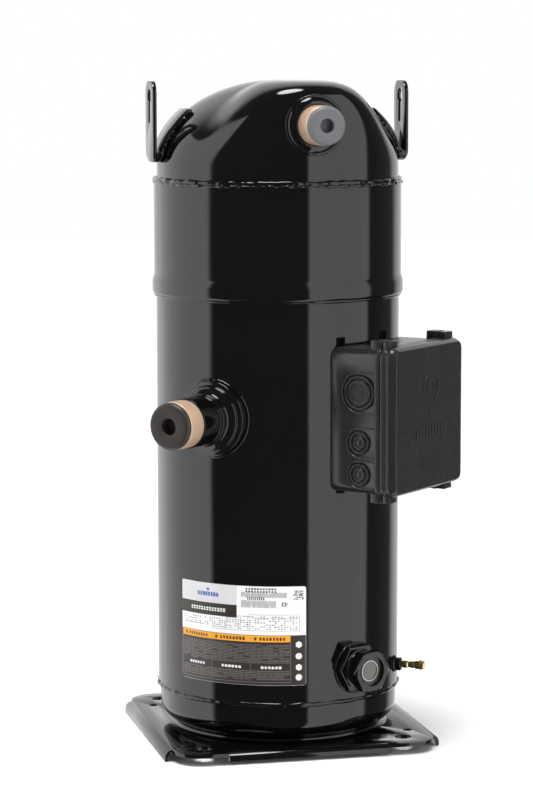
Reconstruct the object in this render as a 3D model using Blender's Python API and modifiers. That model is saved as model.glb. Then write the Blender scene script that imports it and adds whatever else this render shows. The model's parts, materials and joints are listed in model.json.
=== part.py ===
"""Hermetic scroll compressor with its motor, scroll set, terminal box and fittings.

Metres, +Z up.  The origin is on the shell's axis, at the underside of the mounting plate.
Azimuths are in degrees about +Z, from the front (-Y) towards the right (+X).
"""
import math

import bmesh
import bpy
from mathutils import Matrix, Vector

# ---- fits -------------------------------------------------------------------------------
GAP = 0.0003             # between pieces that touch
RUNNING_FIT = 0.0003     # radial clearance of journals and bushes
SLIDING_FIT = 0.0005     # radial clearance of pieces that slide by hand
EMBED = 0.002            # how far a boss runs into the piece that it is one with

# ---- shell ------------------------------------------------------------------------------
SHELL_RADIUS = 0.1215
SHELL_WALL = 0.0045
SHELL_BOTTOM = 0.045
RING_TOP = 0.5517
RING_HEIGHT = 0.1127
RING_BOTTOM = RING_TOP - RING_HEIGHT
RING_PROUD = 0.002       # of the ring beyond the shell
RING_RADIUS = SHELL_RADIUS + RING_PROUD
RING_FLARE = 0.002
LAP = 0.023              # how far the ring reaches down over the shell
BOWL_INSET = 0.0022      # of the bowl from the shell's radius
BOWL_RADIUS = SHELL_RADIUS - BOWL_INSET
BOWL_WALL = 0.004
BOWL_FILLET = 0.018
BOWL_LAP = 0.012
CAP_INSET = 0.001        # of the cap's wall from the shell's radius
CAP_RADIUS = SHELL_RADIUS - CAP_INSET
CAP_WALL = 0.004
CAP_LAP = 0.012
CAP_STRAIGHT = 0.015     # height of the cap's straight wall above the ring
CAP_DOME = 0.0838        # height of the dome above that
DOME_POWER = 1.95
BOSS_POWER = 9.0
BOSS_AZIMUTH = 6.0
BOSS_SPREAD = 62.0
SHELL_STEPS = 36         # sides of the shell and its caps
WIDE_STEPS = 28          # sides of other wide round pieces
ROUND_STEPS = 20         # sides of middling ones
SMALL_STEPS = 10         # sides of pins and small holes
CAP_ROWS = 7

# ---- mounting plate ---------------------------------------------------------------------
PLATE_THICKNESS = 0.0035
PLATE_SIDE_MARGIN = 0.0173   # from the shell to the outside of a side lip
PLATE_END_MARGIN = 0.0145    # from the shell to the outside of an end lip
PLATE_WIDTH = 2.0 * (SHELL_RADIUS + PLATE_SIDE_MARGIN)
PLATE_DEPTH = 2.0 * (SHELL_RADIUS + PLATE_END_MARGIN)
PLATE_CORNER = 0.028
LIP_RADIUS = 0.008       # outer radius of the folds
SIDE_LIP_DROP = 0.008    # below the plate's underside
END_LIP_DROP = 0.0045
END_LIP_INSET = 0.0578   # from the outside of a side lip to the end lip's end
END_LIP_LENGTH = PLATE_WIDTH - 2.0 * END_LIP_INSET
HOLE_INSET = (0.0376, 0.0265)    # from the plate's sides and its ends
HOLE_PITCH_X = PLATE_WIDTH - 2.0 * HOLE_INSET[0]
HOLE_PITCH_Y = PLATE_DEPTH - 2.0 * HOLE_INSET[1]
HOLE_RADIUS = 0.0083
PILOT_INSET = (0.0253, 0.0537)
PILOT_PITCH_X = PLATE_WIDTH - 2.0 * PILOT_INSET[0]
PILOT_PITCH_Y = PLATE_DEPTH - 2.0 * PILOT_INSET[1]
PILOT_RADIUS = 0.0045
PAD_INSET = 0.0150       # of the raised seat from the shell's radius
PAD_RADIUS = SHELL_RADIUS - PAD_INSET
PAD_HEIGHT = 0.0045

# ---- lifting lugs -----------------------------------------------------------------------
LUG_INNER_FACE = 0.0055  # stand-off of the lug's upright from the cap's wall
LUG_THICKNESS = 0.0037
LUG_WIDTH = 0.042
LUG_TOP_ABOVE_RING = 0.0985
LUG_FOOT_THICKNESS = 0.003
LUG_FOOT_ROOT = 0.0018   # of the foot's outer end inside the cap's wall
LUG_FOOT_RUN = 0.0285    # of its inner end
LUG_FOOT_REACH = CAP_RADIUS - LUG_FOOT_RUN
LUG_SLOT_TOP = 0.0075    # radius of the keyhole's round end
LUG_SLOT_HALF = 0.0038

# ---- ports ------------------------------------------------------------------------------
DISCHARGE_AZIMUTH = 4.0
DISCHARGE_ABOVE_RING = 0.0563
DISCHARGE_COLLAR = 0.028
DISCHARGE_TUBE_RADIUS = 0.0190
DISCHARGE_TUBE_WALL = 0.0018
DISCHARGE_REACH = 0.0305  # tube end beyond the cap's wall
DISCHARGE_PLUG_PROUD = 0.0062
DISCHARGE_PLUG_HOLE = 0.0068
SUCTION_AZIMUTH = -45.0
SUCTION_HEIGHT = 0.3247
SUCTION_FLANGE = 0.037
SUCTION_NECK = 0.0243
SUCTION_NECK_REACH = 0.0495
SUCTION_TUBE_RADIUS = 0.0231
SUCTION_TUBE_WALL = 0.0015
SUCTION_REACH = 0.0710
SUCTION_PLUG_PROUD = 0.0055
SUCTION_PLUG_HOLE = 0.0080
PLUG_DEPTH = 0.016

# ---- terminal box -----------------------------------------------------------------------
BOX_AZIMUTH = 45.0
BOX_WIDTH = 0.135
BOX_BOTTOM = 0.254
BOX_HEIGHT = 0.1404
BOX_BACK_INSET = 0.0275  # of the box's back edge inside the shell's radius
BOX_STAND = 0.0347       # of the rim outside the shell's radius
BOX_BACK = SHELL_RADIUS - BOX_BACK_INSET
BOX_RIM = SHELL_RADIUS + BOX_STAND
BOX_COVER_DEPTH = 0.0174
BOX_WALL = 0.003
BOX_CORNER = 0.008
BOX_RIM_BAND = 0.002
KNOCKOUT_PROUD = 0.0012
BOX_LATCH = (0.015, 0.009, 0.013)   # along the rim, proud of it, along the depth
TERMINAL_HEIGHT = 0.338
TERMINAL_RADIUS = 0.027
PIN_CIRCLE = 0.0115
PIN_RADIUS = 0.003

# ---- sight glass and oil valve ----------------------------------------------------------
GLASS_AZIMUTH = 25.5
GLASS_HEIGHT = 0.0763
GLASS_NUT_FLATS = 0.0385
GLASS_REACH = 0.026      # nut face beyond the shell
GLASS_LENS = 0.0100
VALVE_AZIMUTH = 61.0
VALVE_HEIGHT = 0.0665
VALVE_BASE_FLATS = 0.0125
VALVE_REACH = 0.031
VALVE_STEM = 0.0038

# ---- name plate -------------------------------------------------------------------------
LABEL_FIRST = -64.0
LABEL_LAST = -0.5
LABEL_BOTTOM = 0.064
LABEL_TOP = 0.162
LABEL_THICKNESS = 0.0003

# ---- scroll set -------------------------------------------------------------------------
WRAP_PITCH = 0.021
WRAP_WALL = 0.0045
WRAP_HEIGHT = 0.0345
WRAP_START = 3.0         # radians of involute
WRAP_END = 25.0
WRAP_STEPS_PER_TURN = 20
FLANK_GAP = 0.0006
TIP_GAP = 0.0005
THROW = WRAP_PITCH / 2.0 - WRAP_WALL - FLANK_GAP
ORBIT_BASE_RADIUS = 0.088
ORBIT_BASE = 0.0087
THRUST_RADIUS = 0.068
THRUST_HEIGHT = 0.010
HUB_WALL = 0.0075
FIXED_BASE = 0.014
FIXED_FLANGE = 0.0100
FIXED_SKIRT_WALL = 0.010
FIXED_LIFT = 0.0010
SEAL_INNER = 0.0447
SEAL_OUTER = 0.0653
SEAL_GROOVE = 0.0080
SEAL_LIFT = 0.0012
KEY_WIDTH = 0.008
KEY_LENGTH = 0.010
KEY_HEIGHT = 0.0040
OLDHAM_THICKNESS = 0.0052
OLDHAM_WIDTH = 0.0130

# ---- shaft, bearings and motor ----------------------------------------------------------
MAIN_JOURNAL = 0.0190
SHAFT_RADIUS = 0.0165
LOWER_JOURNAL = 0.0120
PIN_JOURNAL = 0.0135
BUSH_WALL = 0.0032
DRIVE_BUSHING_WALL = 0.0041
HOUSING_FLANGE = 0.0072
HOUSING_HUB_LENGTH = 0.057
HOUSING_WALL = 0.009
STATOR_BOTTOM = 0.160
STATOR_HEIGHT = 0.122
STATOR_BORE = 0.0605
STATOR_SLOTS = 12
SLOT_DEPTH = 0.028
AIR_GAP = 0.0010
WINDING_OVERHANG = 0.032
END_RING = 0.009
LOWER_HUB_BOTTOM = 0.086
LOWER_HUB_LENGTH = 0.036
SPIDER_THICKNESS = 0.010
SPIDER_ARMS = 3
WEIGHT_THICKNESS = 0.020
WEIGHT_RADIUS = 0.050
PICKUP_RADIUS = 0.006
PICKUP_BOTTOM = 0.032

# ---- muffler plate and valves -----------------------------------------------------------
MUFFLER_THICKNESS = 0.0035
MUFFLER_GAP = 0.0035     # above the floating seal at rest
PORT_RADIUS = 0.009
CHECK_DISC = 0.0135
CHECK_LIFT = 0.003
RELIEF_RADIUS = 0.008
RELIEF_PLACE = (0.078, 0.046)
RELIEF_LIFT = 0.002
BOLT_CLEARANCE = 0.0007  # of the guide bolts' heads inside the cap
BOLT_AZIMUTHS = (0.0, 120.0, 240.0)
BOLT_RADIUS = 0.003
BOLT_HEAD = 0.0044

# ---- heights that follow from the sizes above ---------------------------------------------
SHELL_INNER = SHELL_RADIUS - SHELL_WALL
BOWL_BOTTOM = PLATE_THICKNESS + PAD_HEIGHT + GAP
RING_STEP = RING_BOTTOM + LAP
RING_INNER = RING_RADIUS - SHELL_WALL
CAP_SHOULDER = RING_TOP + CAP_STRAIGHT
CAP_SKIRT = RING_INNER - GAP
CAP_INNER = CAP_SKIRT - CAP_WALL
BOLT_CIRCLE = CAP_INNER - BOLT_HEAD - BOLT_CLEARANCE
FLANGE_BOTTOM = RING_STEP + GAP
FLANGE_TOP = FLANGE_BOTTOM + HOUSING_FLANGE
THRUST_TOP = FLANGE_TOP + THRUST_HEIGHT
ORBIT_BOTTOM = THRUST_TOP + GAP
ORBIT_TOP = ORBIT_BOTTOM + ORBIT_BASE
FIXED_BOTTOM = ORBIT_TOP + WRAP_HEIGHT + TIP_GAP
FIXED_TOP = FIXED_BOTTOM + FIXED_BASE
SEAL_FLOOR = FIXED_TOP - SEAL_GROOVE
SEAL_TOP = FIXED_TOP + 0.0070
MUFFLER_BOTTOM = SEAL_TOP + MUFFLER_GAP
MUFFLER_TOP = MUFFLER_BOTTOM + MUFFLER_THICKNESS
HUB_INNER = PIN_JOURNAL + RUNNING_FIT + DRIVE_BUSHING_WALL + RUNNING_FIT
HUB_OUTER = HUB_INNER + HUB_WALL
CAVITY_RADIUS = HUB_OUTER + THROW + 0.002
HUB_LENGTH = 0.0243
HUB_BOTTOM = ORBIT_BOTTOM - HUB_LENGTH
CAVITY_FLOOR = HUB_BOTTOM - 0.004
SKIRT_INNER = ORBIT_BASE_RADIUS + THROW + FLANK_GAP
UPSTAND_INNER = SKIRT_INNER + FIXED_SKIRT_WALL + 0.002
UPSTAND_OUTER = BOLT_CIRCLE + 0.0047
HOUSING_BORE = MAIN_JOURNAL + RUNNING_FIT + BUSH_WALL + GAP
HOUSING_HUB_BOTTOM = CAVITY_FLOOR - HOUSING_HUB_LENGTH
STATOR_TOP = STATOR_BOTTOM + STATOR_HEIGHT
SHAFT_BOTTOM = LOWER_HUB_BOTTOM + 0.0031
LOWER_BORE = LOWER_JOURNAL + RUNNING_FIT + BUSH_WALL + GAP
SPIDER_BOTTOM = LOWER_HUB_BOTTOM + 0.012
DISCHARGE_HEIGHT = RING_TOP + DISCHARGE_ABOVE_RING
OLDHAM_INNER = THRUST_RADIUS + THROW / 2.0 + 0.0009
KEY_CIRCLE = OLDHAM_INNER + OLDHAM_WIDTH / 2.0

parts = None
cutters = None


# ---- shared helpers ---------------------------------------------------------------------
def collection(name):
    group = bpy.data.collections.new(name)
    bpy.context.scene.collection.children.link(group)
    return group


def material(name, colour, roughness, metallic=0.0):
    """A plain Principled finish, made once."""
    found = bpy.data.materials.get(name)
    if found:
        return found
    made = bpy.data.materials.new(name)
    made.use_nodes = True
    shader = made.node_tree.nodes["Principled BSDF"]
    shader.inputs["Base Color"].default_value = (*colour, 1.0)
    shader.inputs["Roughness"].default_value = roughness
    shader.inputs["Metallic"].default_value = metallic
    made.diffuse_color = (*colour, 1.0)
    return made


def gloss_black():
    return material("gloss_black_paint", (0.012, 0.012, 0.013), 0.12)


def box_plastic():
    return material("black_plastic", (0.035, 0.035, 0.037), 0.38)


def bare_steel():
    return material("machined_steel", (0.56, 0.57, 0.58), 0.28, 1.0)


def cast_iron():
    return material("cast_iron", (0.20, 0.20, 0.205), 0.55, 1.0)


def copper():
    return material("copper", (0.80, 0.45, 0.28), 0.30, 1.0)


def bronze():
    return material("bearing_bronze", (0.55, 0.36, 0.18), 0.35, 1.0)


def brass():
    return material("brass", (0.78, 0.58, 0.26), 0.25, 1.0)


def rubber():
    return material("black_rubber", (0.03, 0.03, 0.032), 0.7)


def is_cutter(obj):
    """Marks an object as a tool for cutting or joining, which is no part of the model."""
    obj.hide_render = True
    obj.display_type = "WIRE"


def adopt(name, mesh, finish, place=None):
    """Links a mesh as a part, or as a cutter when it has no finish."""
    obj = bpy.data.objects.new(name, mesh)
    if finish:
        mesh.materials.append(finish)
        parts.objects.link(obj)
    else:
        cutters.objects.link(obj)
        is_cutter(obj)
    if place is not None:
        obj.matrix_world = place
    return obj


def turned(name, profile, finish=None, place=None, steps=ROUND_STEPS, closed=True):
    """A solid of revolution about local Z.

    The profile holds (radius, height) points that run down the outer side; an open one
    starts and ends on the axis.
    """
    mesh = bpy.data.meshes.new(name)
    edges = [(i, i + 1) for i in range(len(profile) - 1)]
    if closed:
        edges.append((len(profile) - 1, 0))
    mesh.from_pydata([(r, 0.0, z) for r, z in profile], edges, [])
    obj = adopt(name, mesh, finish, place)
    screw = obj.modifiers.new("turn", "SCREW")
    screw.axis = "Z"
    screw.steps = steps
    screw.render_steps = steps
    screw.use_merge_vertices = True
    screw.merge_threshold = 0.00001
    screw.use_normal_calculate = False
    screw.use_smooth_shade = False
    return obj


def tube(name, outer, inner, low, high, finish=None, place=None, steps=ROUND_STEPS):
    return turned(name, [(outer, high), (outer, low), (inner, low), (inner, high)], finish, place, steps)


def rod(name, radius, low, high, finish=None, place=None, steps=ROUND_STEPS):
    """A plain cylinder along local Z."""
    mesh = bpy.data.meshes.new(name)
    work = bmesh.new()
    middle = Matrix.Translation((0.0, 0.0, (low + high) / 2.0))
    bmesh.ops.create_cone(work, cap_ends=True, segments=steps, radius1=radius, radius2=radius,
                          depth=high - low, matrix=middle)
    work.to_mesh(mesh)
    work.free()
    return adopt(name, mesh, finish, place)


def block(name, low, high, finish=None, place=None, bevel=0.0):
    """A box between two corners."""
    mesh = bpy.data.meshes.new(name)
    work = bmesh.new()
    size = Vector(high) - Vector(low)
    shape = Matrix.Translation((Vector(low) + Vector(high)) / 2.0) @ Matrix.Diagonal((*size, 1.0))
    bmesh.ops.create_cube(work, size=1.0, matrix=shape)
    if bevel:
        bmesh.ops.bevel(work, geom=work.edges[:], offset=bevel, segments=2, affect="EDGES", profile=0.5)
    work.to_mesh(mesh)
    work.free()
    return adopt(name, mesh, finish, place)


def welded_mesh(curve_object):
    """Turns a curve object into one welded mesh and removes the curve."""
    bpy.context.view_layer.update()
    graph = bpy.context.evaluated_depsgraph_get()
    mesh = bpy.data.meshes.new_from_object(curve_object.evaluated_get(graph))
    mesh.materials.clear()
    work = bmesh.new()
    work.from_mesh(mesh)
    bmesh.ops.remove_doubles(work, verts=work.verts[:], dist=0.000005)
    work.to_mesh(mesh)
    work.free()
    bpy.data.objects.remove(curve_object)
    return mesh


def prism(name, outlines, low, high, finish=None, place=None):
    """A flat outline in local XY, extruded along local Z; further outlines are holes."""
    curve = bpy.data.curves.new(name, "CURVE")
    curve.dimensions = "2D"
    curve.fill_mode = "BOTH"
    curve.extrude = (high - low) / 2.0
    for outline in outlines:
        spline = curve.splines.new("POLY")
        spline.points.add(len(outline) - 1)
        spline.use_cyclic_u = True
        for point, (x, y) in zip(spline.points, outline):
            point.co = (x, y, 0.0, 1.0)
    guide = bpy.data.objects.new(name, curve)
    cutters.objects.link(guide)
    mesh = welded_mesh(guide)
    mesh.transform(Matrix.Translation((0.0, 0.0, (low + high) / 2.0)))
    return adopt(name, mesh, finish, place)


def wire(name, points, radius, finish, sides=2):
    """A round wire through a list of points, with closed ends."""
    curve = bpy.data.curves.new(name, "CURVE")
    curve.dimensions = "3D"
    curve.bevel_depth = radius
    curve.bevel_resolution = sides
    curve.use_fill_caps = True
    spline = curve.splines.new("POLY")
    spline.points.add(len(points) - 1)
    for point, place in zip(spline.points, points):
        point.co = (*place, 1.0)
    guide = bpy.data.objects.new(name, curve)
    cutters.objects.link(guide)
    return adopt(name, welded_mesh(guide), finish)


def combine(target, tool, operation):
    """A live Boolean; the tool is kept as a hidden cutter."""
    boolean = target.modifiers.new(operation.lower(), "BOOLEAN")
    boolean.operation = operation
    boolean.solver = "EXACT"
    boolean.object = tool


def cut(target, *tools):
    for tool in tools:
        combine(target, tool, "DIFFERENCE")


def join(target, *tools):
    for tool in tools:
        combine(target, tool, "UNION")


def radial(azimuth, height):
    """Local Z points out from the shell's axis, local Y up, local X along the shell."""
    angle = math.radians(azimuth)
    along = Vector((math.cos(angle), math.sin(angle), 0.0))
    out = Vector((math.sin(angle), -math.cos(angle), 0.0))
    turn = Matrix((along, Vector((0.0, 0.0, 1.0)), out)).transposed()
    return Matrix.Translation((0.0, 0.0, height)) @ turn.to_4x4()


def around(azimuth):
    """A turn about +Z that takes the front to the azimuth."""
    return Matrix.Rotation(math.radians(azimuth), 4, "Z")


def rounded_rectangle(width, height, corner, points=4, centre=(0.0, 0.0)):
    """An outline, anticlockwise, with each corner an arc."""
    outline = []
    for quarter, (sx, sy) in enumerate(((1, 1), (-1, 1), (-1, -1), (1, -1))):
        cx = centre[0] + sx * (width / 2.0 - corner)
        cy = centre[1] + sy * (height / 2.0 - corner)
        for step in range(points + 1):
            angle = math.pi / 2.0 * (quarter + step / points)
            outline.append((cx + corner * math.cos(angle), cy + corner * math.sin(angle)))
    return outline


def circle(radius, points=24, centre=(0.0, 0.0)):
    turn = 2.0 * math.pi / points
    return [(centre[0] + radius * math.cos(turn * i), centre[1] + radius * math.sin(turn * i))
            for i in range(points)]


def hexagon(flats):
    radius = flats / math.sqrt(3.0)
    return circle(radius, 6)


def arc(centre, radius, first, last, steps):
    """(x, y) points of an arc, angles in degrees."""
    points = []
    for step in range(steps + 1):
        angle = math.radians(first + (last - first) * step / steps)
        points.append((centre[0] + radius * math.cos(angle), centre[1] + radius * math.sin(angle)))
    return points


# ---- mounting plate ---------------------------------------------------------------------
def fold(half_span, drop):
    """The (across, height) points of a folded edge that reaches to half_span, outer side first."""
    middle = (half_span - LIP_RADIUS, PLATE_THICKNESS - LIP_RADIUS)
    outer = arc(middle, LIP_RADIUS, 90.0, 0.0, 4)
    inner = arc(middle, LIP_RADIUS - PLATE_THICKNESS, 0.0, 90.0, 4)
    return outer + [(half_span, -drop), (half_span - PLATE_THICKNESS, -drop)] + inner


def plate_plan():
    """The plate seen from above: rounded corners, with a notch at each end for the folded lip."""
    side = PLATE_WIDTH / 2.0
    flat = side - LIP_RADIUS + 0.0007
    end = PLATE_DEPTH / 2.0
    notch = end - LIP_RADIUS + 0.001
    half_lip = END_LIP_LENGTH / 2.0
    corner = arc((flat - PLATE_CORNER, end - PLATE_CORNER), PLATE_CORNER, 0.0, 90.0, 4)
    quarter = [(side + 0.01, end - PLATE_CORNER)] + corner + [(half_lip, end), (half_lip, notch)]
    half = quarter + [(-x, y) for x, y in reversed(quarter)]
    return half + [(-x, -y) for x, y in half]


def make_base_plate():
    """The pressed plate: rounded flat, folded edges, raised seat for the bowl, eight holes."""
    upright = Matrix.Rotation(math.pi / 2.0, 4, "X")
    right = fold(PLATE_WIDTH / 2.0, SIDE_LIP_DROP)
    section = right + [(-x, z) for x, z in reversed(right)]
    plate = prism("base_plate", [section], -PLATE_DEPTH, PLATE_DEPTH, gloss_black(), upright)
    combine(plate, prism("plate_plan", [plate_plan()], -0.03, 0.03), "INTERSECT")
    tongue = PLATE_DEPTH / 2.0 - LIP_RADIUS - 0.004
    skin = 0.0005
    for turn in (90.0, 270.0):
        lip = [(tongue, PLATE_THICKNESS - skin)] + fold(PLATE_DEPTH / 2.0, END_LIP_DROP) + [(tongue, skin)]
        join(plate, prism(f"end_lip_{turn:.0f}", [lip], -END_LIP_LENGTH / 2.0 + skin, END_LIP_LENGTH / 2.0 - skin,
                          None, around(turn) @ upright))
    top = PLATE_THICKNESS + PAD_HEIGHT
    join(plate, turned("seat", [(0.0, top), (PAD_RADIUS, top), (PAD_RADIUS + 0.0015, PLATE_THICKNESS + 0.0015),
                                (PAD_RADIUS + 0.0050, PLATE_THICKNESS - 0.0010), (0.0, PLATE_THICKNESS - 0.0010)],
                       steps=SHELL_STEPS, closed=False))
    for sx in (-1, 1):
        for sy in (-1, 1):
            for pitch_x, pitch_y, radius in ((HOLE_PITCH_X, HOLE_PITCH_Y, HOLE_RADIUS),
                                             (PILOT_PITCH_X, PILOT_PITCH_Y, PILOT_RADIUS)):
                centre = Matrix.Translation((sx * pitch_x / 2.0, sy * pitch_y / 2.0, 0.0))
                cut(plate, rod(f"hole_{sx}_{sy}_{radius:.4f}", radius, -0.01, 0.02, None, centre, 12))
    return plate


# ---- shell ------------------------------------------------------------------------------
def make_bottom_cap():
    rim = SHELL_INNER - GAP
    step = SHELL_BOTTOM - GAP
    floor = BOWL_BOTTOM + BOWL_WALL
    low = (BOWL_RADIUS - BOWL_FILLET, BOWL_BOTTOM + BOWL_FILLET)
    inner_fillet = BOWL_FILLET - BOWL_WALL
    profile = [(0.0, floor)]
    profile += arc(low, inner_fillet, -90.0, 0.0, 2)
    profile += [(BOWL_RADIUS - BOWL_WALL, step - 0.004), (rim - BOWL_WALL, step),
                (rim - BOWL_WALL, step + BOWL_LAP), (rim, step + BOWL_LAP), (rim, step), (BOWL_RADIUS, step)]
    profile += arc(low, BOWL_FILLET, 0.0, -90.0, 3)
    profile += [(0.0, BOWL_BOTTOM)]
    return turned("bottom_cap", profile, gloss_black(), None, SHELL_STEPS, closed=False)


def make_center_shell():
    shell = tube("center_shell", SHELL_RADIUS, SHELL_INNER, SHELL_BOTTOM, RING_STEP, gloss_black(), None,
                 SHELL_STEPS)
    openings = (("suction", SUCTION_AZIMUTH, SUCTION_HEIGHT, SUCTION_NECK + GAP),
                ("terminal", BOX_AZIMUTH, TERMINAL_HEIGHT, TERMINAL_RADIUS + GAP),
                ("glass", GLASS_AZIMUTH, GLASS_HEIGHT, GLASS_NUT_FLATS * 0.36 + GAP),
                ("valve", VALVE_AZIMUTH, VALVE_HEIGHT, VALVE_STEM + GAP))
    for name, azimuth, height, radius in openings:
        cut(shell, rod(f"{name}_opening", radius, SHELL_INNER - 0.02, SHELL_RADIUS + 0.02, None,
                       radial(azimuth, height), ROUND_STEPS))
    return shell


def make_upper_shell_ring():
    lap_inner = SHELL_RADIUS + GAP
    profile = [(RING_RADIUS, RING_TOP), (RING_RADIUS, RING_STEP - 0.001),
               (RING_RADIUS + RING_FLARE * 0.7, RING_STEP - 0.006), (RING_RADIUS + RING_FLARE, RING_BOTTOM + 0.001),
               (RING_RADIUS + RING_FLARE - 0.001, RING_BOTTOM), (lap_inner, RING_BOTTOM),
               (lap_inner, RING_STEP + GAP), (RING_INNER, RING_STEP + GAP), (RING_INNER, RING_TOP)]
    return turned("upper_shell_ring", profile, gloss_black(), None, SHELL_STEPS)


def boss_share(azimuth):
    """How much of the discharge boss the dome has at an azimuth, from 0 to 1."""
    away = abs((azimuth - BOSS_AZIMUTH + 180.0) % 360.0 - 180.0) / BOSS_SPREAD
    if away >= 1.0:
        return 0.0
    return math.cos(away * math.pi / 2.0) ** 2


def dome_point(azimuth, share, inset):
    """A point of the dome: share runs from 0 at the pole to 1 at the shoulder."""
    boss = boss_share(azimuth)
    power = DOME_POWER * (BOSS_POWER / DOME_POWER) ** boss
    angle = share * math.pi / 2.0
    radius = (CAP_RADIUS - inset) * math.sin(angle) ** (2.0 / power)
    height = CAP_SHOULDER + (CAP_DOME - inset) * max(math.cos(angle), 0.0) ** (2.0 / power)
    turn = math.radians(azimuth)
    return Vector((radius * math.sin(turn), -radius * math.cos(turn), height))


def cap_rows():
    """Rows of the cap from the outer pole, over the rim, to the inner pole."""
    shares = [(row + 1) / CAP_ROWS for row in range(CAP_ROWS)]
    rows = [("dome", share, 0.0) for share in shares]
    step = RING_TOP + GAP
    rows += [("wall", CAP_RADIUS, step), ("wall", CAP_SKIRT, step), ("wall", CAP_SKIRT, RING_TOP - CAP_LAP),
             ("wall", CAP_INNER, RING_TOP - CAP_LAP), ("wall", CAP_INNER, step + 0.002),
             ("wall", CAP_RADIUS - CAP_WALL, step + 0.006)]
    rows += [("dome", share, CAP_WALL) for share in reversed(shares)]
    return rows


def make_top_cap():
    """The domed cap, drawn out to a full-height boss where the discharge tube leaves."""
    mesh = bpy.data.meshes.new("top_cap")
    work = bmesh.new()
    loops = []
    for kind, first, second in cap_rows():
        loop = []
        for column in range(SHELL_STEPS):
            azimuth = 360.0 * column / SHELL_STEPS
            if kind == "dome":
                place = dome_point(azimuth, first, second)
            else:
                turn = math.radians(azimuth)
                place = Vector((first * math.sin(turn), -first * math.cos(turn), second))
            loop.append(work.verts.new(place))
        loops.append(loop)
    for upper, lower in zip(loops, loops[1:]):
        for column in range(SHELL_STEPS):
            after = (column + 1) % SHELL_STEPS
            work.faces.new((upper[column], lower[column], lower[after], upper[after]))
    for loop, height, step in ((loops[0], CAP_SHOULDER + CAP_DOME, 1),
                               (loops[-1], CAP_SHOULDER + CAP_DOME - CAP_WALL, -1)):
        pole = work.verts.new((0.0, 0.0, height))
        for column in range(SHELL_STEPS):
            pair = (loop[column], loop[(column + 1) % SHELL_STEPS])
            work.faces.new((pole, *pair[::step]))
    work.to_mesh(mesh)
    work.free()
    cap = adopt("top_cap", mesh, gloss_black())
    cut(cap, rod("discharge_opening", DISCHARGE_TUBE_RADIUS + 2.0 * GAP + 0.0022, CAP_INNER - 0.03,
                 CAP_RADIUS + 0.02, None, radial(DISCHARGE_AZIMUTH, DISCHARGE_HEIGHT), ROUND_STEPS))
    return cap


# ---- lifting lugs -----------------------------------------------------------------------
def dome_height(radius):
    """Height of the plain dome's outside at a radius."""
    share = min(radius / CAP_RADIUS, 1.0)
    return CAP_SHOULDER + CAP_DOME * (1.0 - share ** DOME_POWER) ** (1.0 / DOME_POWER)


def dome_line(first, last, offset, steps):
    """(radius, height) points along the dome, pushed out by an offset."""
    points = []
    for step in range(steps + 1):
        radius = first + (last - first) * step / steps
        here = Vector((radius, dome_height(radius)))
        near = Vector((radius - 0.0005, dome_height(radius - 0.0005)))
        out = Vector((near.y - here.y, here.x - near.x)).normalized()
        points.append(tuple(here + out * offset))
    return points


def make_lug(name, turn):
    """An upright plate with a keyhole and a foot that follows the dome."""
    wall = CAP_RADIUS + GAP + 0.0005
    face = CAP_RADIUS + LUG_INNER_FACE
    back = face + LUG_THICKNESS
    top = RING_TOP + LUG_TOP_ABOVE_RING
    tip = CAP_SHOULDER + 0.0025
    root = CAP_RADIUS - LUG_FOOT_ROOT
    under = dome_line(root, LUG_FOOT_REACH, GAP + 0.0005, 6)
    over = dome_line(LUG_FOOT_REACH, root, LUG_FOOT_THICKNESS + GAP + 0.0005, 6)
    foot_top = over[-1][1]
    outline = [(wall, tip), (back - 0.0015, tip), (back, tip + 0.007), (back, top), (face, top),
               (face, foot_top + 0.003)]
    outline += list(reversed(over)) + list(reversed(under))
    upright = Matrix.Rotation(math.pi / 2.0, 4, "X")
    lug = prism(name, [outline], -LUG_WIDTH / 2.0, LUG_WIDTH / 2.0, gloss_black(), around(turn) @ upright)
    sideways = around(turn) @ Matrix.Rotation(math.pi / 2.0, 4, "Y") @ Matrix.Rotation(math.pi / 2.0, 4, "Z")
    middle = (top + tip) / 2.0
    shield = rounded_rectangle(LUG_WIDTH - 0.001, top - tip - 0.001, 0.011, 4, (0.0, middle))
    combine(lug, prism(f"{name}_shape", [shield], 0.0, back + 0.02, None, sideways), "INTERSECT")
    slot_top = top - 0.0155
    key = rod(f"{name}_eye", LUG_SLOT_TOP, face - 0.002, back + 0.02, None,
              sideways @ Matrix.Translation((0.0, slot_top, 0.0)), ROUND_STEPS)
    slit = prism(f"{name}_slit", [rounded_rectangle(2.0 * LUG_SLOT_HALF, 0.026, 0.003, 3, (0.0, slot_top - 0.013))],
                 face - 0.002, back + 0.02, None, sideways)
    cut(lug, key, slit)
    return lug


# ---- ports ------------------------------------------------------------------------------
def shell_cutter(name, radius):
    """A tall cylinder about the shell's axis, for saddles."""
    return rod(name, radius, SHELL_BOTTOM - 0.1, CAP_SHOULDER + CAP_DOME + 0.1, None, None, SHELL_STEPS)


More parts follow.
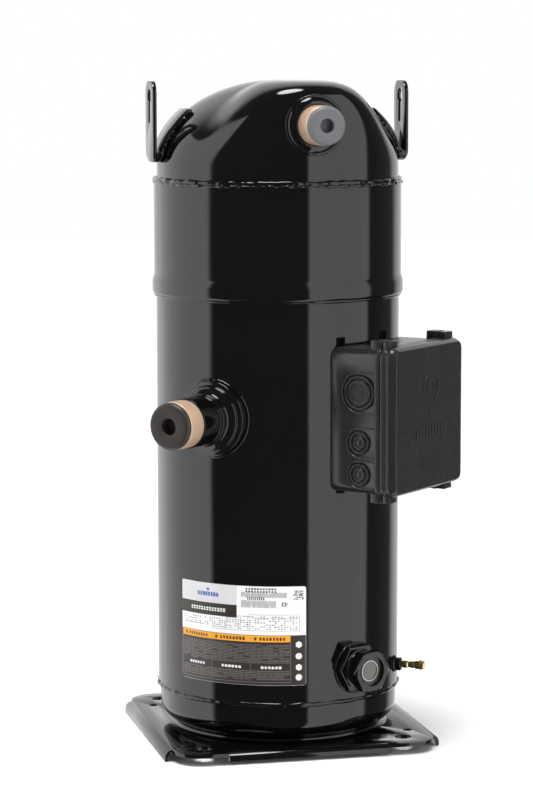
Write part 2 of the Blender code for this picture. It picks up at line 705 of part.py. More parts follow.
def make_discharge():
    place = radial(DISCHARGE_AZIMUTH, DISCHARGE_HEIGHT)
    seat = CAP_RADIUS
    sleeve = DISCHARGE_TUBE_RADIUS + GAP + 0.0022
    bore = DISCHARGE_TUBE_RADIUS + GAP
    fitting = turned("discharge_fitting",
                     [(0.0, seat + 0.0048), (sleeve + 0.001, seat + 0.0048), (DISCHARGE_COLLAR - 0.003, seat + 0.0030),
                      (DISCHARGE_COLLAR, seat + 0.0005), (DISCHARGE_COLLAR, seat - 0.006), (0.0, seat - 0.006)],
                     gloss_black(), place, ROUND_STEPS, closed=False)
    cut(fitting, shell_cutter("discharge_saddle", CAP_RADIUS + GAP))
    join(fitting, rod("discharge_sleeve", sleeve, CAP_INNER - 0.008, seat + 0.004, None, place, ROUND_STEPS))
    cut(fitting, rod("discharge_bore", bore, CAP_INNER - 0.02, seat + 0.02, None, place, ROUND_STEPS))
    end = seat + DISCHARGE_REACH
    inner = DISCHARGE_TUBE_RADIUS - DISCHARGE_TUBE_WALL
    turned("discharge_tube", [(DISCHARGE_TUBE_RADIUS - 0.0006, end), (DISCHARGE_TUBE_RADIUS, end - 0.0008),
                              (DISCHARGE_TUBE_RADIUS, CAP_INNER - 0.006), (inner, CAP_INNER - 0.006), (inner, end)],
           copper(), place, ROUND_STEPS)
    plug("discharge_plug", inner - GAP, end - PLUG_DEPTH, end + DISCHARGE_PLUG_PROUD, DISCHARGE_PLUG_HOLE, place)


def plug(name, radius, low, high, hole, place):
    """A round rubber stopper with a blind grip hole in its face."""
    turned(name, [(0.0, high - 0.010), (hole, high - 0.010), (hole, high), (radius - 0.0006, high),
                  (radius, high - 0.0006), (radius, low + 0.001), (radius - 0.001, low), (0.0, low)],
           rubber(), place, ROUND_STEPS, closed=False)


def make_suction():
    place = radial(SUCTION_AZIMUTH, SUCTION_HEIGHT)
    seat = SHELL_RADIUS
    neck_end = seat + SUCTION_NECK_REACH
    bead = SUCTION_NECK + 0.0022
    fitting = turned("suction_fitting",
                     [(0.0, neck_end), (SUCTION_NECK, neck_end), (SUCTION_NECK, seat + 0.022),
                      (bead, seat + 0.0205), (bead, seat + 0.0165), (SUCTION_NECK + 0.001, seat + 0.0150),
                      (SUCTION_FLANGE * 0.84, seat + 0.0090), (SUCTION_FLANGE * 0.86, seat + 0.0055),
                      (SUCTION_FLANGE - 0.001, seat + 0.0045), (SUCTION_FLANGE, seat + 0.0030),
                      (SUCTION_FLANGE, seat - 0.012), (0.0, seat - 0.012)],
                     gloss_black(), place, ROUND_STEPS, closed=False)
    cut(fitting, shell_cutter("suction_saddle", SHELL_RADIUS + GAP))
    join(fitting, rod("suction_sleeve", SUCTION_NECK, SHELL_INNER - 0.002, seat + 0.004, None, place, ROUND_STEPS))
    inner = SUCTION_TUBE_RADIUS - SUCTION_TUBE_WALL
    cut(fitting, rod("suction_bore", inner, SHELL_INNER - 0.02, neck_end + 0.02, None, place, ROUND_STEPS))
    end = seat + SUCTION_REACH
    outer = SUCTION_TUBE_RADIUS
    turned("suction_tube", [(outer - 0.0007, end), (outer, end - 0.0010), (outer, neck_end + 0.0015),
                            (outer - 0.0005, neck_end + GAP), (inner, neck_end + GAP), (inner, end)],
           copper(), place, ROUND_STEPS)
    plug("suction_plug", inner - GAP, end - PLUG_DEPTH, end + SUCTION_PLUG_PROUD, SUCTION_PLUG_HOLE, place)


# ---- terminal box -----------------------------------------------------------------------
def box_outline(inset):
    """The box's outline in its own frame, whose origin is at the shell's axis and height 0."""
    centre = (0.0, BOX_BOTTOM + BOX_HEIGHT / 2.0)
    return rounded_rectangle(BOX_WIDTH - 2.0 * inset, BOX_HEIGHT - 2.0 * inset, BOX_CORNER - inset, 3, centre)


def latch_blocks(name, low, high):
    """Four latch lugs on the top and bottom edges of the rim or the cover."""
    blocks = []
    length, proud, _ = BOX_LATCH
    for side in (-1, 1):
        for end in (-1, 1):
            x = side * (BOX_WIDTH / 2.0 - 0.004 - length / 2.0)
            edge = BOX_BOTTOM + BOX_HEIGHT / 2.0 + end * (BOX_HEIGHT / 2.0)
            heights = sorted((edge - end * EMBED, edge + end * proud))
            blocks.append(block(f"{name}_{side}_{end}", (x - length / 2.0, heights[0], low),
                                (x + length / 2.0, heights[1], high), None, radial(BOX_AZIMUTH, 0.0)))
    return blocks


def knockout_places():
    """(height, distance from the axis, radius) of the cable entries on each side of the box."""
    middle = (SHELL_RADIUS + BOX_RIM) / 2.0 - 0.0055
    return ((BOX_BOTTOM + 0.098, middle, 0.0165), (BOX_BOTTOM + 0.0495, middle, 0.0108),
            (BOX_BOTTOM + 0.0185, middle, 0.0108))


def make_terminal_box():
    place = radial(BOX_AZIMUTH, 0.0)
    wall = BOX_WALL
    housing = prism("terminal_box", [box_outline(0.0)], BOX_BACK, BOX_RIM, box_plastic(), place)
    band = prism("rim_band", [box_outline(-BOX_RIM_BAND)], BOX_RIM - 0.006, BOX_RIM, None, place)
    join(housing, band, *latch_blocks("housing_latch", BOX_RIM - BOX_LATCH[2], BOX_RIM))
    for index, (height, distance, radius) in enumerate(knockout_places()):
        spot = place @ Matrix.Translation((-BOX_WIDTH / 2.0, height, distance))
        spot = spot @ Matrix.Rotation(math.pi / 2.0, 4, "Y")
        join(housing, rod(f"knockout_{index}", radius, -KNOCKOUT_PROUD, KNOCKOUT_PROUD, None, spot, 14))
    cut(housing, shell_cutter("box_saddle", SHELL_RADIUS + 2.0 * GAP))
    hollow = prism("box_hollow", [box_outline(wall)], BOX_BACK - 0.01, BOX_RIM + 0.01, None, place)
    cut(hollow, shell_cutter("box_inner_saddle", SHELL_RADIUS + 2.0 * GAP + wall))
    cut(housing, hollow)
    entry = place @ Matrix.Translation((0.0, TERMINAL_HEIGHT, 0.0))
    cut(housing, rod("terminal_entry", TERMINAL_RADIUS + 0.006, BOX_BACK, SHELL_RADIUS + 0.02, None, entry, ROUND_STEPS))
    make_cover(place)
    make_terminals()
    module_low = SHELL_RADIUS + 2.0 * GAP + wall + GAP
    block("protection_module", (-0.045, BOX_BOTTOM + wall + 0.008, module_low),
          (0.045, BOX_BOTTOM + wall + 0.038, BOX_RIM - 0.004),
          material("module_case", (0.08, 0.09, 0.12), 0.5), place, 0.0012)


def make_cover(place):
    """The cover: a shallow tray over the rim, with the latch ears at its corners."""
    low = BOX_RIM + GAP
    high = BOX_RIM + BOX_COVER_DEPTH
    cover = prism("terminal_cover", [box_outline(-BOX_RIM_BAND)], low, high - 0.003, box_plastic(), place)
    join(cover, prism("cover_face", [box_outline(-BOX_RIM_BAND + 0.0025)], high - 0.006, high, None, place))
    join(cover, *latch_blocks("cover_latch", low, low + 0.008))
    cut(cover, prism("cover_hollow", [box_outline(BOX_WALL)], low - 0.01, high - BOX_WALL, None, place))
    return cover


def make_terminals():
    """The glass-sealed terminal cup in the shell, and its three pins."""
    place = radial(BOX_AZIMUTH, TERMINAL_HEIGHT)
    lip = SHELL_RADIUS + 0.0035
    cup = turned("hermetic_terminal",
                 [(0.0, SHELL_RADIUS - 0.001), (TERMINAL_RADIUS - 0.006, SHELL_RADIUS - 0.001),
                  (TERMINAL_RADIUS - 0.003, lip), (TERMINAL_RADIUS, lip), (TERMINAL_RADIUS, SHELL_INNER),
                  (0.0, SHELL_INNER)],
                 bare_steel(), place, ROUND_STEPS, closed=False)
    for index in range(3):
        angle = math.radians(90.0 + 120.0 * index)
        spot = place @ Matrix.Translation((PIN_CIRCLE * math.cos(angle), PIN_CIRCLE * math.sin(angle), 0.0))
        cut(cup, rod(f"pin_hole_{index}", PIN_RADIUS + GAP, SHELL_INNER - 0.01, SHELL_RADIUS + 0.01, None, spot, SMALL_STEPS))
        rod(f"terminal_pin_{'uvw'[index]}", PIN_RADIUS, SHELL_INNER - 0.008, SHELL_RADIUS + 0.016, brass(), spot, SMALL_STEPS)


# ---- sight glass and oil valve ----------------------------------------------------------
def make_sight_glass():
    place = radial(GLASS_AZIMUTH, GLASS_HEIGHT)
    seat = SHELL_RADIUS
    face = seat + GLASS_REACH
    nut_back = face - 0.011
    body = GLASS_NUT_FLATS * 0.45
    spigot = GLASS_NUT_FLATS * 0.36
    boss = turned("sight_glass_boss",
                  [(0.0, nut_back - GAP), (body, nut_back - GAP), (body, seat + 0.008), (0.0235, seat + 0.006),
                   (0.0235, seat - 0.006), (0.0, seat - 0.006)], gloss_black(), place, ROUND_STEPS, closed=False)
    cut(boss, shell_cutter("glass_saddle", SHELL_RADIUS + GAP))
    join(boss, rod("glass_spigot", spigot, SHELL_INNER - 0.001, seat + 0.004, None, place, ROUND_STEPS))
    cut(boss, rod("glass_way", GLASS_LENS, SHELL_INNER - 0.01, nut_back + 0.01, None, place, ROUND_STEPS))
    nut = prism("sight_glass_nut", [hexagon(GLASS_NUT_FLATS)], nut_back, face, gloss_black(), place)
    recess = 0.0042
    cut(nut, rod("nut_recess", GLASS_LENS + 0.0045, face - recess, face + 0.01, None, place, ROUND_STEPS))
    cut(nut, rod("nut_way", GLASS_LENS + 2.0 * GAP, nut_back - 0.01, face, None, place, ROUND_STEPS))
    rod("sight_glass_lens", GLASS_LENS + GAP, nut_back + 0.001, face - recess - 0.001,
        material("sight_glass", (0.55, 0.55, 0.53), 0.05), place, ROUND_STEPS)


def make_oil_valve():
    """The oil service valve: a hexagon weld base, a brass body, its core pin and its cap."""
    place = radial(VALVE_AZIMUTH, VALVE_HEIGHT)
    seat = SHELL_RADIUS
    base_end = seat + 0.0075
    base = prism("oil_valve_base", [hexagon(VALVE_BASE_FLATS)], seat - 0.004, base_end, gloss_black(), place)
    cut(base, shell_cutter("valve_saddle", SHELL_RADIUS + GAP))
    join(base, rod("valve_spigot", VALVE_STEM, SHELL_INNER - 0.001, seat + 0.002, None, place, SMALL_STEPS))
    core = 0.0012
    cut(base, rod("valve_base_way", core + GAP, SHELL_INNER - 0.01, base_end + 0.01, None, place, SMALL_STEPS))
    body_end = seat + 0.0215
    tube("oil_valve_body", VALVE_STEM, core + GAP, base_end + GAP, body_end, brass(), place, SMALL_STEPS)
    turned("oil_valve_pin", [(0.0, body_end + 0.0022), (core, body_end + 0.0022), (core, base_end + 0.004),
                             (0.0, base_end + 0.004)], bare_steel(), place, SMALL_STEPS, closed=False)
    cap_end = seat + VALVE_REACH
    turned("oil_valve_cap", [(0.0, body_end + 0.0036), (core + 0.0010, body_end + 0.0036),
                             (core + 0.0010, body_end + GAP), (VALVE_STEM + 0.0010, body_end + GAP),
                             (VALVE_STEM + 0.0010, cap_end), (0.0, cap_end)][::-1],
           brass(), place, ROUND_STEPS, closed=False)


def make_name_plate():
    """A blank rating plate that is wrapped round the shell."""
    inner = SHELL_RADIUS + GAP
    outer = inner + LABEL_THICKNESS
    steps = 14
    outline = arc((0.0, 0.0), outer, LABEL_FIRST - 90.0, LABEL_LAST - 90.0, steps)
    outline += arc((0.0, 0.0), inner, LABEL_LAST - 90.0, LABEL_FIRST - 90.0, steps)
    prism("name_plate", [outline], LABEL_BOTTOM, LABEL_TOP, material("label_film", (0.6, 0.6, 0.6), 0.4))


# ---- scroll set -------------------------------------------------------------------------
def wrap_outline():
    """The outline of one scroll wall: two involute flanks of the same base circle."""
    base = WRAP_PITCH / (2.0 * math.pi)
    half = WRAP_WALL / (2.0 * base)
    step = 2.0 * math.pi / WRAP_STEPS_PER_TURN
    count = int((WRAP_END - WRAP_START) / step)
    flanks = []
    for phase in (half, -half):
        flank = []
        for index in range(count + 1):
            angle = WRAP_START + step * index
            length = base * (angle - phase)
            flank.append((base * math.cos(angle) + length * math.sin(angle),
                          base * math.sin(angle) - length * math.cos(angle)))
        flanks.append(flank)
    return flanks[0] + flanks[1][::-1]


def make_orbiting_scroll():
    place = Matrix.Translation((THROW, 0.0, 0.0))
    scroll = turned("orbiting_scroll",
                    [(0.0, ORBIT_TOP), (ORBIT_BASE_RADIUS, ORBIT_TOP), (ORBIT_BASE_RADIUS, ORBIT_BOTTOM),
                     (HUB_OUTER, ORBIT_BOTTOM), (HUB_OUTER, HUB_BOTTOM), (HUB_INNER, HUB_BOTTOM),
                     (HUB_INNER, ORBIT_BOTTOM - 0.0005), (0.0, ORBIT_BOTTOM - 0.0005)],
                    cast_iron(), place, WIDE_STEPS, closed=False)
    join(scroll, prism("orbiting_wrap", [wrap_outline()], ORBIT_TOP - 0.001, ORBIT_TOP + WRAP_HEIGHT, None, place))
    reach = THROW / 2.0 + 0.0004
    for side in (-1, 1):
        middle = side * KEY_CIRCLE
        half_x = KEY_WIDTH / 2.0 + reach
        half_y = KEY_LENGTH / 2.0 + reach
        cut(scroll, block(f"orbit_keyway_{side}", (THROW - half_x, middle - half_y, ORBIT_BOTTOM - 0.01),
                          (THROW + half_x, middle + half_y, ORBIT_BOTTOM + KEY_HEIGHT + 0.0007)))
    return scroll


def make_oldham_ring():
    """The anti-rotation ring: two keys down in the housing, two keys up in the orbiting scroll."""
    low = FLANGE_TOP + GAP
    high = low + OLDHAM_THICKNESS
    place = Matrix.Translation((THROW / 2.0, 0.0, 0.0))
    ring = tube("oldham_ring", OLDHAM_INNER + OLDHAM_WIDTH, OLDHAM_INNER, low, high, bare_steel(), place, WIDE_STEPS)
    for side in (-1, 1):
        x = THROW / 2.0 + side * KEY_CIRCLE
        half_w, half_l = KEY_WIDTH / 2.0, KEY_LENGTH / 2.0
        join(ring, block(f"frame_key_{side}", (x - half_l, -half_w, low - KEY_HEIGHT), (x + half_l, half_w, low + EMBED)))
        y = side * KEY_CIRCLE
        join(ring, block(f"scroll_key_{side}", (THROW / 2.0 - half_w, y - half_l, high - EMBED),
                         (THROW / 2.0 + half_w, y + half_l, ORBIT_BOTTOM + KEY_HEIGHT)))
    return ring


def bolt_spot(azimuth):
    turn = math.radians(azimuth)
    return Matrix.Translation((BOLT_CIRCLE * math.sin(turn), -BOLT_CIRCLE * math.cos(turn), 0.0))


def make_fixed_scroll():
    """The upper scroll, which floats up and down on its guide bolts."""
    flange_radius = BOLT_CIRCLE + 0.0046
    flange_top = FIXED_BOTTOM + FIXED_FLANGE
    skirt_bottom = ORBIT_TOP - 0.004
    body = SEAL_OUTER + 0.008
    profile = [(0.0, FIXED_TOP), (SEAL_INNER - GAP, FIXED_TOP), (SEAL_INNER - GAP, SEAL_FLOOR),
               (SEAL_OUTER + GAP, SEAL_FLOOR), (SEAL_OUTER + GAP, FIXED_TOP), (body, FIXED_TOP),
               (body + 0.002, flange_top), (flange_radius, flange_top), (flange_radius, FIXED_BOTTOM),
               (SKIRT_INNER + FIXED_SKIRT_WALL, FIXED_BOTTOM), (SKIRT_INNER + FIXED_SKIRT_WALL, skirt_bottom),
               (SKIRT_INNER, skirt_bottom), (SKIRT_INNER, FIXED_BOTTOM), (0.0, FIXED_BOTTOM)]
    scroll = turned("fixed_scroll", profile, cast_iron(), None, SHELL_STEPS, closed=False)
    half_turn = Matrix.Rotation(math.pi, 4, "Z")
    join(scroll, prism("fixed_wrap", [wrap_outline()], ORBIT_TOP + TIP_GAP, FIXED_BOTTOM + 0.001, None, half_turn))
    cut(scroll, rod("fixed_port", PORT_RADIUS * 0.55, FIXED_BOTTOM - 0.05, FIXED_TOP + 0.01, None, None, ROUND_STEPS))
    for index, azimuth in enumerate(BOLT_AZIMUTHS):
        cut(scroll, rod(f"fixed_guide_{index}", BOLT_RADIUS + 0.0004, FIXED_BOTTOM - 0.01, flange_top + 0.01, None,
                        bolt_spot(azimuth), SMALL_STEPS))
    for index in range(2):
        window = around(BOX_AZIMUTH + 180.0 * index)
        cut(scroll, block(f"skirt_window_{index}", (-0.022, -0.13, skirt_bottom - 0.01),
                          (0.022, -SKIRT_INNER + 0.003, FIXED_BOTTOM - 0.012), None, window))
    return scroll


def make_seal_and_bolts():
    low = SEAL_FLOOR + GAP
    lip = (SEAL_INNER + SEAL_OUTER) / 2.0
    turned("floating_seal", [(lip + 0.003, SEAL_TOP), (lip + 0.0035, FIXED_TOP + 0.002), (SEAL_OUTER, FIXED_TOP + 0.001),
                             (SEAL_OUTER, low), (SEAL_INNER, low), (SEAL_INNER, FIXED_TOP + 0.001),
                             (lip - 0.0035, FIXED_TOP + 0.002), (lip - 0.003, SEAL_TOP)],
           material("seal_grey", (0.25, 0.26, 0.27), 0.45, 0.6), None, WIDE_STEPS)
    flange_top = FIXED_BOTTOM + FIXED_FLANGE
    head = flange_top + FIXED_LIFT + GAP
    for index, azimuth in enumerate(BOLT_AZIMUTHS):
        turned(f"guide_bolt_{index + 1}", [(0.0, head + 0.005), (BOLT_HEAD, head + 0.005), (BOLT_HEAD, head),
                                           (BOLT_RADIUS, head), (BOLT_RADIUS, FIXED_BOTTOM - 0.014),
                                           (0.0, FIXED_BOTTOM - 0.014)],
               bare_steel(), bolt_spot(azimuth), SMALL_STEPS, closed=False)


# ---- bearings, shaft and motor ----------------------------------------------------------
def make_main_housing():
    """The housing that carries the main bearing, the thrust face and the scroll's uprights."""
    upstand_top = FIXED_BOTTOM - GAP
    hub = HOUSING_BORE + HOUSING_WALL
    profile = [(UPSTAND_OUTER, upstand_top), (UPSTAND_OUTER, FLANGE_TOP), (RING_INNER - GAP, FLANGE_TOP),
               (RING_INNER - GAP, FLANGE_BOTTOM), (SHELL_INNER - 0.017, FLANGE_BOTTOM),
               (hub + 0.012, CAVITY_FLOOR - 0.014), (hub, CAVITY_FLOOR - 0.018), (hub, HOUSING_HUB_BOTTOM),
               (HOUSING_BORE, HOUSING_HUB_BOTTOM), (HOUSING_BORE, CAVITY_FLOOR), (CAVITY_RADIUS, CAVITY_FLOOR),
               (CAVITY_RADIUS, THRUST_TOP), (THRUST_RADIUS, THRUST_TOP), (THRUST_RADIUS, FLANGE_TOP),
               (UPSTAND_INNER, FLANGE_TOP), (UPSTAND_INNER, upstand_top)]
    housing = turned("main_bearing_housing", profile, cast_iron(), None, SHELL_STEPS)
    reach = THROW / 2.0 + 0.0004
    for side in (-1, 1):
        x = side * KEY_CIRCLE
        cut(housing, block(f"frame_keyway_{side}",
                           (x - KEY_LENGTH / 2.0 - reach, -KEY_WIDTH / 2.0 - reach, FLANGE_TOP - KEY_HEIGHT - 0.0005),
                           (x + KEY_LENGTH / 2.0 + reach, KEY_WIDTH / 2.0 + reach, FLANGE_TOP + 0.004)))
    for index, azimuth in enumerate(BOLT_AZIMUTHS):
        cut(housing, rod(f"bolt_hole_{index}", BOLT_RADIUS + GAP, FIXED_BOTTOM - 0.016, FIXED_BOTTOM + 0.01, None,
                         bolt_spot(azimuth), SMALL_STEPS))
        window = around(azimuth + 60.0)
        cut(housing, block(f"gas_window_{index}", (-0.028, -RING_INNER - 0.01, FLANGE_TOP + 0.006),
                           (0.028, -UPSTAND_INNER + 0.012, upstand_top - 0.010), None, window))
    tube("main_bearing_bush", HOUSING_BORE - GAP, MAIN_JOURNAL + RUNNING_FIT, HOUSING_HUB_BOTTOM + 0.002,
         CAVITY_FLOOR - 0.001, bronze(), None, ROUND_STEPS)


def make_crankshaft():
    pin_low = CAVITY_FLOOR + 0.002
    shaft = turned("crankshaft",
                   [(0.0, pin_low), (MAIN_JOURNAL, pin_low), (MAIN_JOURNAL, HOUSING_HUB_BOTTOM - 0.003),
                    (SHAFT_RADIUS, HOUSING_HUB_BOTTOM - 0.004), (SHAFT_RADIUS, LOWER_HUB_BOTTOM + LOWER_HUB_LENGTH + 0.002),
                    (LOWER_JOURNAL, LOWER_HUB_BOTTOM + LOWER_HUB_LENGTH + 0.001), (LOWER_JOURNAL, SHAFT_BOTTOM),
                    (0.0, SHAFT_BOTTOM)], bare_steel(), None, ROUND_STEPS, closed=False)
    pin = Matrix.Translation((THROW, 0.0, 0.0))
    pin_top = ORBIT_BOTTOM - 0.0018
    join(shaft, rod("crank_pin", PIN_JOURNAL, pin_low - EMBED, pin_top, None, pin, ROUND_STEPS))
    cut(shaft, rod("oil_way", 0.003, SHAFT_BOTTOM - 0.01, pin_top + 0.01, None,
                   Matrix.Translation((THROW / 2.0, 0.0, 0.0)), SMALL_STEPS))
    cut(shaft, rod("pickup_socket", PICKUP_RADIUS + GAP, SHAFT_BOTTOM - 0.01, SHAFT_BOTTOM + 0.020, None, None, ROUND_STEPS))
    tube("drive_bushing", HUB_INNER - RUNNING_FIT, PIN_JOURNAL + RUNNING_FIT, HUB_BOTTOM + 0.001,
         ORBIT_BOTTOM - 0.0015, bronze(), pin, ROUND_STEPS)
    tube("oil_pickup", PICKUP_RADIUS, 0.0035, PICKUP_BOTTOM, SHAFT_BOTTOM + 0.019, bare_steel(), None, ROUND_STEPS)


def make_counterweights():
    """Half rings opposite the crank pin above the motor, and on its side below."""
    lower_top = STATOR_BOTTOM - END_RING - 0.003
    upper_low = STATOR_TOP + WINDING_OVERHANG + 0.012
    for name, low, side in (("upper_counterweight", upper_low, -1), ("lower_counterweight", lower_top - WEIGHT_THICKNESS, 1)):
        weight = tube(name, WEIGHT_RADIUS, SHAFT_RADIUS + GAP, low, low + WEIGHT_THICKNESS, cast_iron(), None, ROUND_STEPS)
        spare = sorted((-side * 0.006, -side * 0.06))
        cut(weight, block(f"{name}_relief", (spare[0], -0.06, low + 0.007), (spare[1], 0.06, low + WEIGHT_THICKNESS + 0.01)))


def make_motor():
    stator_outer = SHELL_INNER - GAP
    core = tube("stator_core", stator_outer, STATOR_BORE, STATOR_BOTTOM, STATOR_TOP,
                material("lamination_steel", (0.28, 0.28, 0.29), 0.5, 0.9), None, SHELL_STEPS)
    slot_in = STATOR_BORE + 0.0035
    slot_out = slot_in + SLOT_DEPTH
    half_slot = 0.0058
    bore_gap = STATOR_BORE + 0.0030
    ends = []
    for name, low in (("lower", STATOR_BOTTOM - WINDING_OVERHANG), ("upper", STATOR_TOP + 0.002)):
        high = low + WINDING_OVERHANG - 0.002
        bulge = 0.006
        ends.append([(slot_out + 0.004, high - bulge), (slot_out + 0.004, low + bulge), (slot_out - 0.002, low),
                     (bore_gap + 0.005, low), (bore_gap, low + bulge), (bore_gap, high - bulge),
                     (bore_gap + 0.005, high), (slot_out - 0.002, high)])
    winding = turned("stator_winding", ends[0], material("enamelled_wire", (0.50, 0.22, 0.10), 0.4, 0.7), None, ROUND_STEPS)
    join(winding, turned("upper_end_turns", ends[1], steps=ROUND_STEPS))
    for index in range(STATOR_SLOTS):
        place = around(360.0 * index / STATOR_SLOTS + 5.0)
        cut(core, block(f"slot_{index}", (-half_slot, -slot_out, STATOR_BOTTOM - 0.01),
                        (half_slot, -slot_in, STATOR_TOP + 0.01), None, place))
        join(winding, block(f"coil_side_{index}", (-half_slot + GAP, -slot_out + GAP, STATOR_BOTTOM - 0.005),
                            (half_slot - GAP, -slot_in - GAP, STATOR_TOP + 0.005), None, place))
    for index in range(4):
        place = around(90.0 * index + 45.0)
        cut(core, block(f"gas_flat_{index}", (-0.03, -stator_outer - 0.01, STATOR_BOTTOM - 0.01),
                        (0.03, -stator_outer + 0.0055, STATOR_TOP + 0.01), None, place))
    rotor_radius = STATOR_BORE - AIR_GAP
    tube("rotor_core", rotor_radius, SHAFT_RADIUS + GAP, STATOR_BOTTOM, STATOR_TOP,
         material("lamination_steel", (0.28, 0.28, 0.29), 0.5, 0.9), None, WIDE_STEPS)
    for name, low in (("rotor_end_ring_lower", STATOR_BOTTOM - GAP - END_RING), ("rotor_end_ring_upper", STATOR_TOP + GAP)):
        tube(name, rotor_radius - 0.002, SHAFT_RADIUS + 0.014, low, low + END_RING,
             material("cast_aluminium", (0.70, 0.70, 0.71), 0.4, 1.0), None, WIDE_STEPS)


def make_lower_bearing():
    """The spider that carries the lower bearing, its bush and its thrust washer."""
    outer = SHELL_INNER - GAP
    hub = LOWER_BORE + 0.008
    spider_top = SPIDER_BOTTOM + SPIDER_THICKNESS
    hub_top = LOWER_HUB_BOTTOM + LOWER_HUB_LENGTH
    spider = turned("lower_bearing_spider",
                    [(hub, hub_top), (hub, spider_top), (outer, spider_top), (outer, SPIDER_BOTTOM), (hub, SPIDER_BOTTOM),
                     (hub, LOWER_HUB_BOTTOM), (LOWER_BORE, LOWER_HUB_BOTTOM), (LOWER_BORE, hub_top)],
                    cast_iron(), None, SHELL_STEPS)
    for index in range(SPIDER_ARMS):
        window = []
        share = 360.0 / SPIDER_ARMS
        window += arc((0.0, 0.0), outer - 0.012, index * share + 16.0, (index + 1) * share - 16.0, 6)
        window += arc((0.0, 0.0), hub + 0.008, (index + 1) * share - 38.0, index * share + 38.0, 3)
        cut(spider, prism(f"spider_window_{index}", [window], SPIDER_BOTTOM - 0.01, spider_top + 0.01))
    tube("lower_bearing_bush", LOWER_BORE - GAP, LOWER_JOURNAL + RUNNING_FIT, SHAFT_BOTTOM + 0.001, hub_top - 0.001,
         bronze(), None, ROUND_STEPS)
    tube("thrust_washer", LOWER_BORE - GAP, PICKUP_RADIUS + 0.0006, LOWER_HUB_BOTTOM + GAP, SHAFT_BOTTOM - GAP,
         bronze(), None, ROUND_STEPS)


# ---- muffler plate, valves and sump -----------------------------------------------------
def make_muffler_plate():
    port = PORT_RADIUS
    plate = tube("muffler_plate", CAP_INNER - GAP, port, MUFFLER_BOTTOM, MUFFLER_TOP,
                 material("pressed_steel", (0.42, 0.42, 0.43), 0.4, 1.0), None, SHELL_STEPS)
    relief = Matrix.Translation((*RELIEF_PLACE, 0.0))
    cut(plate, rod("relief_hole", RELIEF_RADIUS + GAP, MUFFLER_BOTTOM - 0.01, MUFFLER_TOP + 0.01, None, relief, ROUND_STEPS))
    return plate


def make_check_valve():
    """The disc over the plate's port, and the cage that limits its lift."""
    seat = MUFFLER_TOP + GAP
    disc_top = seat + 0.0022
    rod("check_valve_disc", CHECK_DISC, seat, disc_top, bare_steel(), None, ROUND_STEPS)
    inner = CHECK_DISC + SLIDING_FIT
    roof = disc_top + CHECK_LIFT + GAP
    cage = turned("check_valve_cage", [(0.0, roof + 0.003), (inner + 0.003, roof + 0.003), (inner + 0.003, seat + 0.002),
                                       (inner + 0.006, seat + 0.0015), (inner + 0.006, seat), (inner, seat),
                                       (inner, roof), (0.0, roof)],
                  material("pressed_steel", (0.42, 0.42, 0.43), 0.4, 1.0), None, ROUND_STEPS, closed=False)
    for index in range(2):
        cut(cage, block(f"cage_window_{index}", (-0.006, -0.03, disc_top + 0.0006), (0.006, 0.03, roof - 0.0006), None,
                        around(90.0 * index + 45.0)))
    cut(cage, rod("cage_vent", 0.004, roof - 0.01, roof + 0.01, None, None, SMALL_STEPS))


def make_relief_valve():
    """The spring-loaded relief valve that is set in the muffler plate."""
    place = Matrix.Translation((*RELIEF_PLACE, MUFFLER_BOTTOM))
    bore = RELIEF_RADIUS - 0.0024
    top = 0.026
    turned("relief_valve_body", [(RELIEF_RADIUS + 0.003, 0.0), (RELIEF_RADIUS + 0.003, -0.003 - GAP), (0.002, -0.003 - GAP),
                                 (0.002, 0.001), (bore, 0.001), (bore, top), (RELIEF_RADIUS, top), (RELIEF_RADIUS, -GAP),
                                 (RELIEF_RADIUS + 0.003, -GAP)][1:], bare_steel(), place, ROUND_STEPS)
    seat = 0.001 + GAP
    turned("relief_poppet", [(0.0, seat + 0.008), (0.0018, seat + 0.008), (0.0018, seat + 0.003), (bore - SLIDING_FIT, seat + 0.003),
                             (bore - SLIDING_FIT, seat), (0.0, seat)], brass(), place, SMALL_STEPS, closed=False)
    turns, per_turn = 5, 8
    low = MUFFLER_BOTTOM + seat + 0.003 + 0.0012
    rise = 0.012
    points = []
    for step in range(turns * per_turn + 1):
        angle = 2.0 * math.pi * step / per_turn
        points.append((RELIEF_PLACE[0] + 0.0036 * math.cos(angle), RELIEF_PLACE[1] + 0.0036 * math.sin(angle),
                       low + rise * step / (turns * per_turn)))
    wire("relief_spring", points, 0.0006, bare_steel(), 1)


def make_sump():
    """A chip magnet on the bowl's floor."""
    floor = BOWL_BOTTOM + BOWL_WALL + GAP
    rod("sump_magnet", 0.013, floor, floor + 0.006, material("ferrite", (0.09, 0.09, 0.09), 0.6),
        Matrix.Translation((0.052, 0.034, 0.0)), ROUND_STEPS)


def make_motor_leads():
    """Three leads from the terminal's inner pins to the motor's upper end turns."""
    drop = STATOR_TOP + WINDING_OVERHANG
    for index in range(3):
        angle = math.radians(90.0 + 120.0 * index)
        frame = radial(BOX_AZIMUTH, TERMINAL_HEIGHT)
        x, y = PIN_CIRCLE * math.cos(angle), PIN_CIRCLE * math.sin(angle)
        start = frame @ Vector((x, y, SHELL_INNER - 0.008 - GAP))
        bend = frame @ Vector((x, y, SHELL_INNER - 0.018))
        end = frame @ Vector((x * 1.4, 0.0, SHELL_INNER - 0.0255))
        end.z = drop + 0.0015
        points = []
        for step in range(9):
            t = step / 8.0
            points.append(tuple(start * (1 - t) ** 2 + bend * 2.0 * t * (1 - t) + end * t * t))
        wire(f"motor_lead_{'uvw'[index]}", points, 0.0018, material("lead_sleeve", (0.75, 0.74, 0.70), 0.6), 1)


def shade_round_pieces():
    for obj in parts.objects:
        obj.data.shade_smooth()
        obj.data.set_sharp_from_angle(angle=math.radians(32.0))


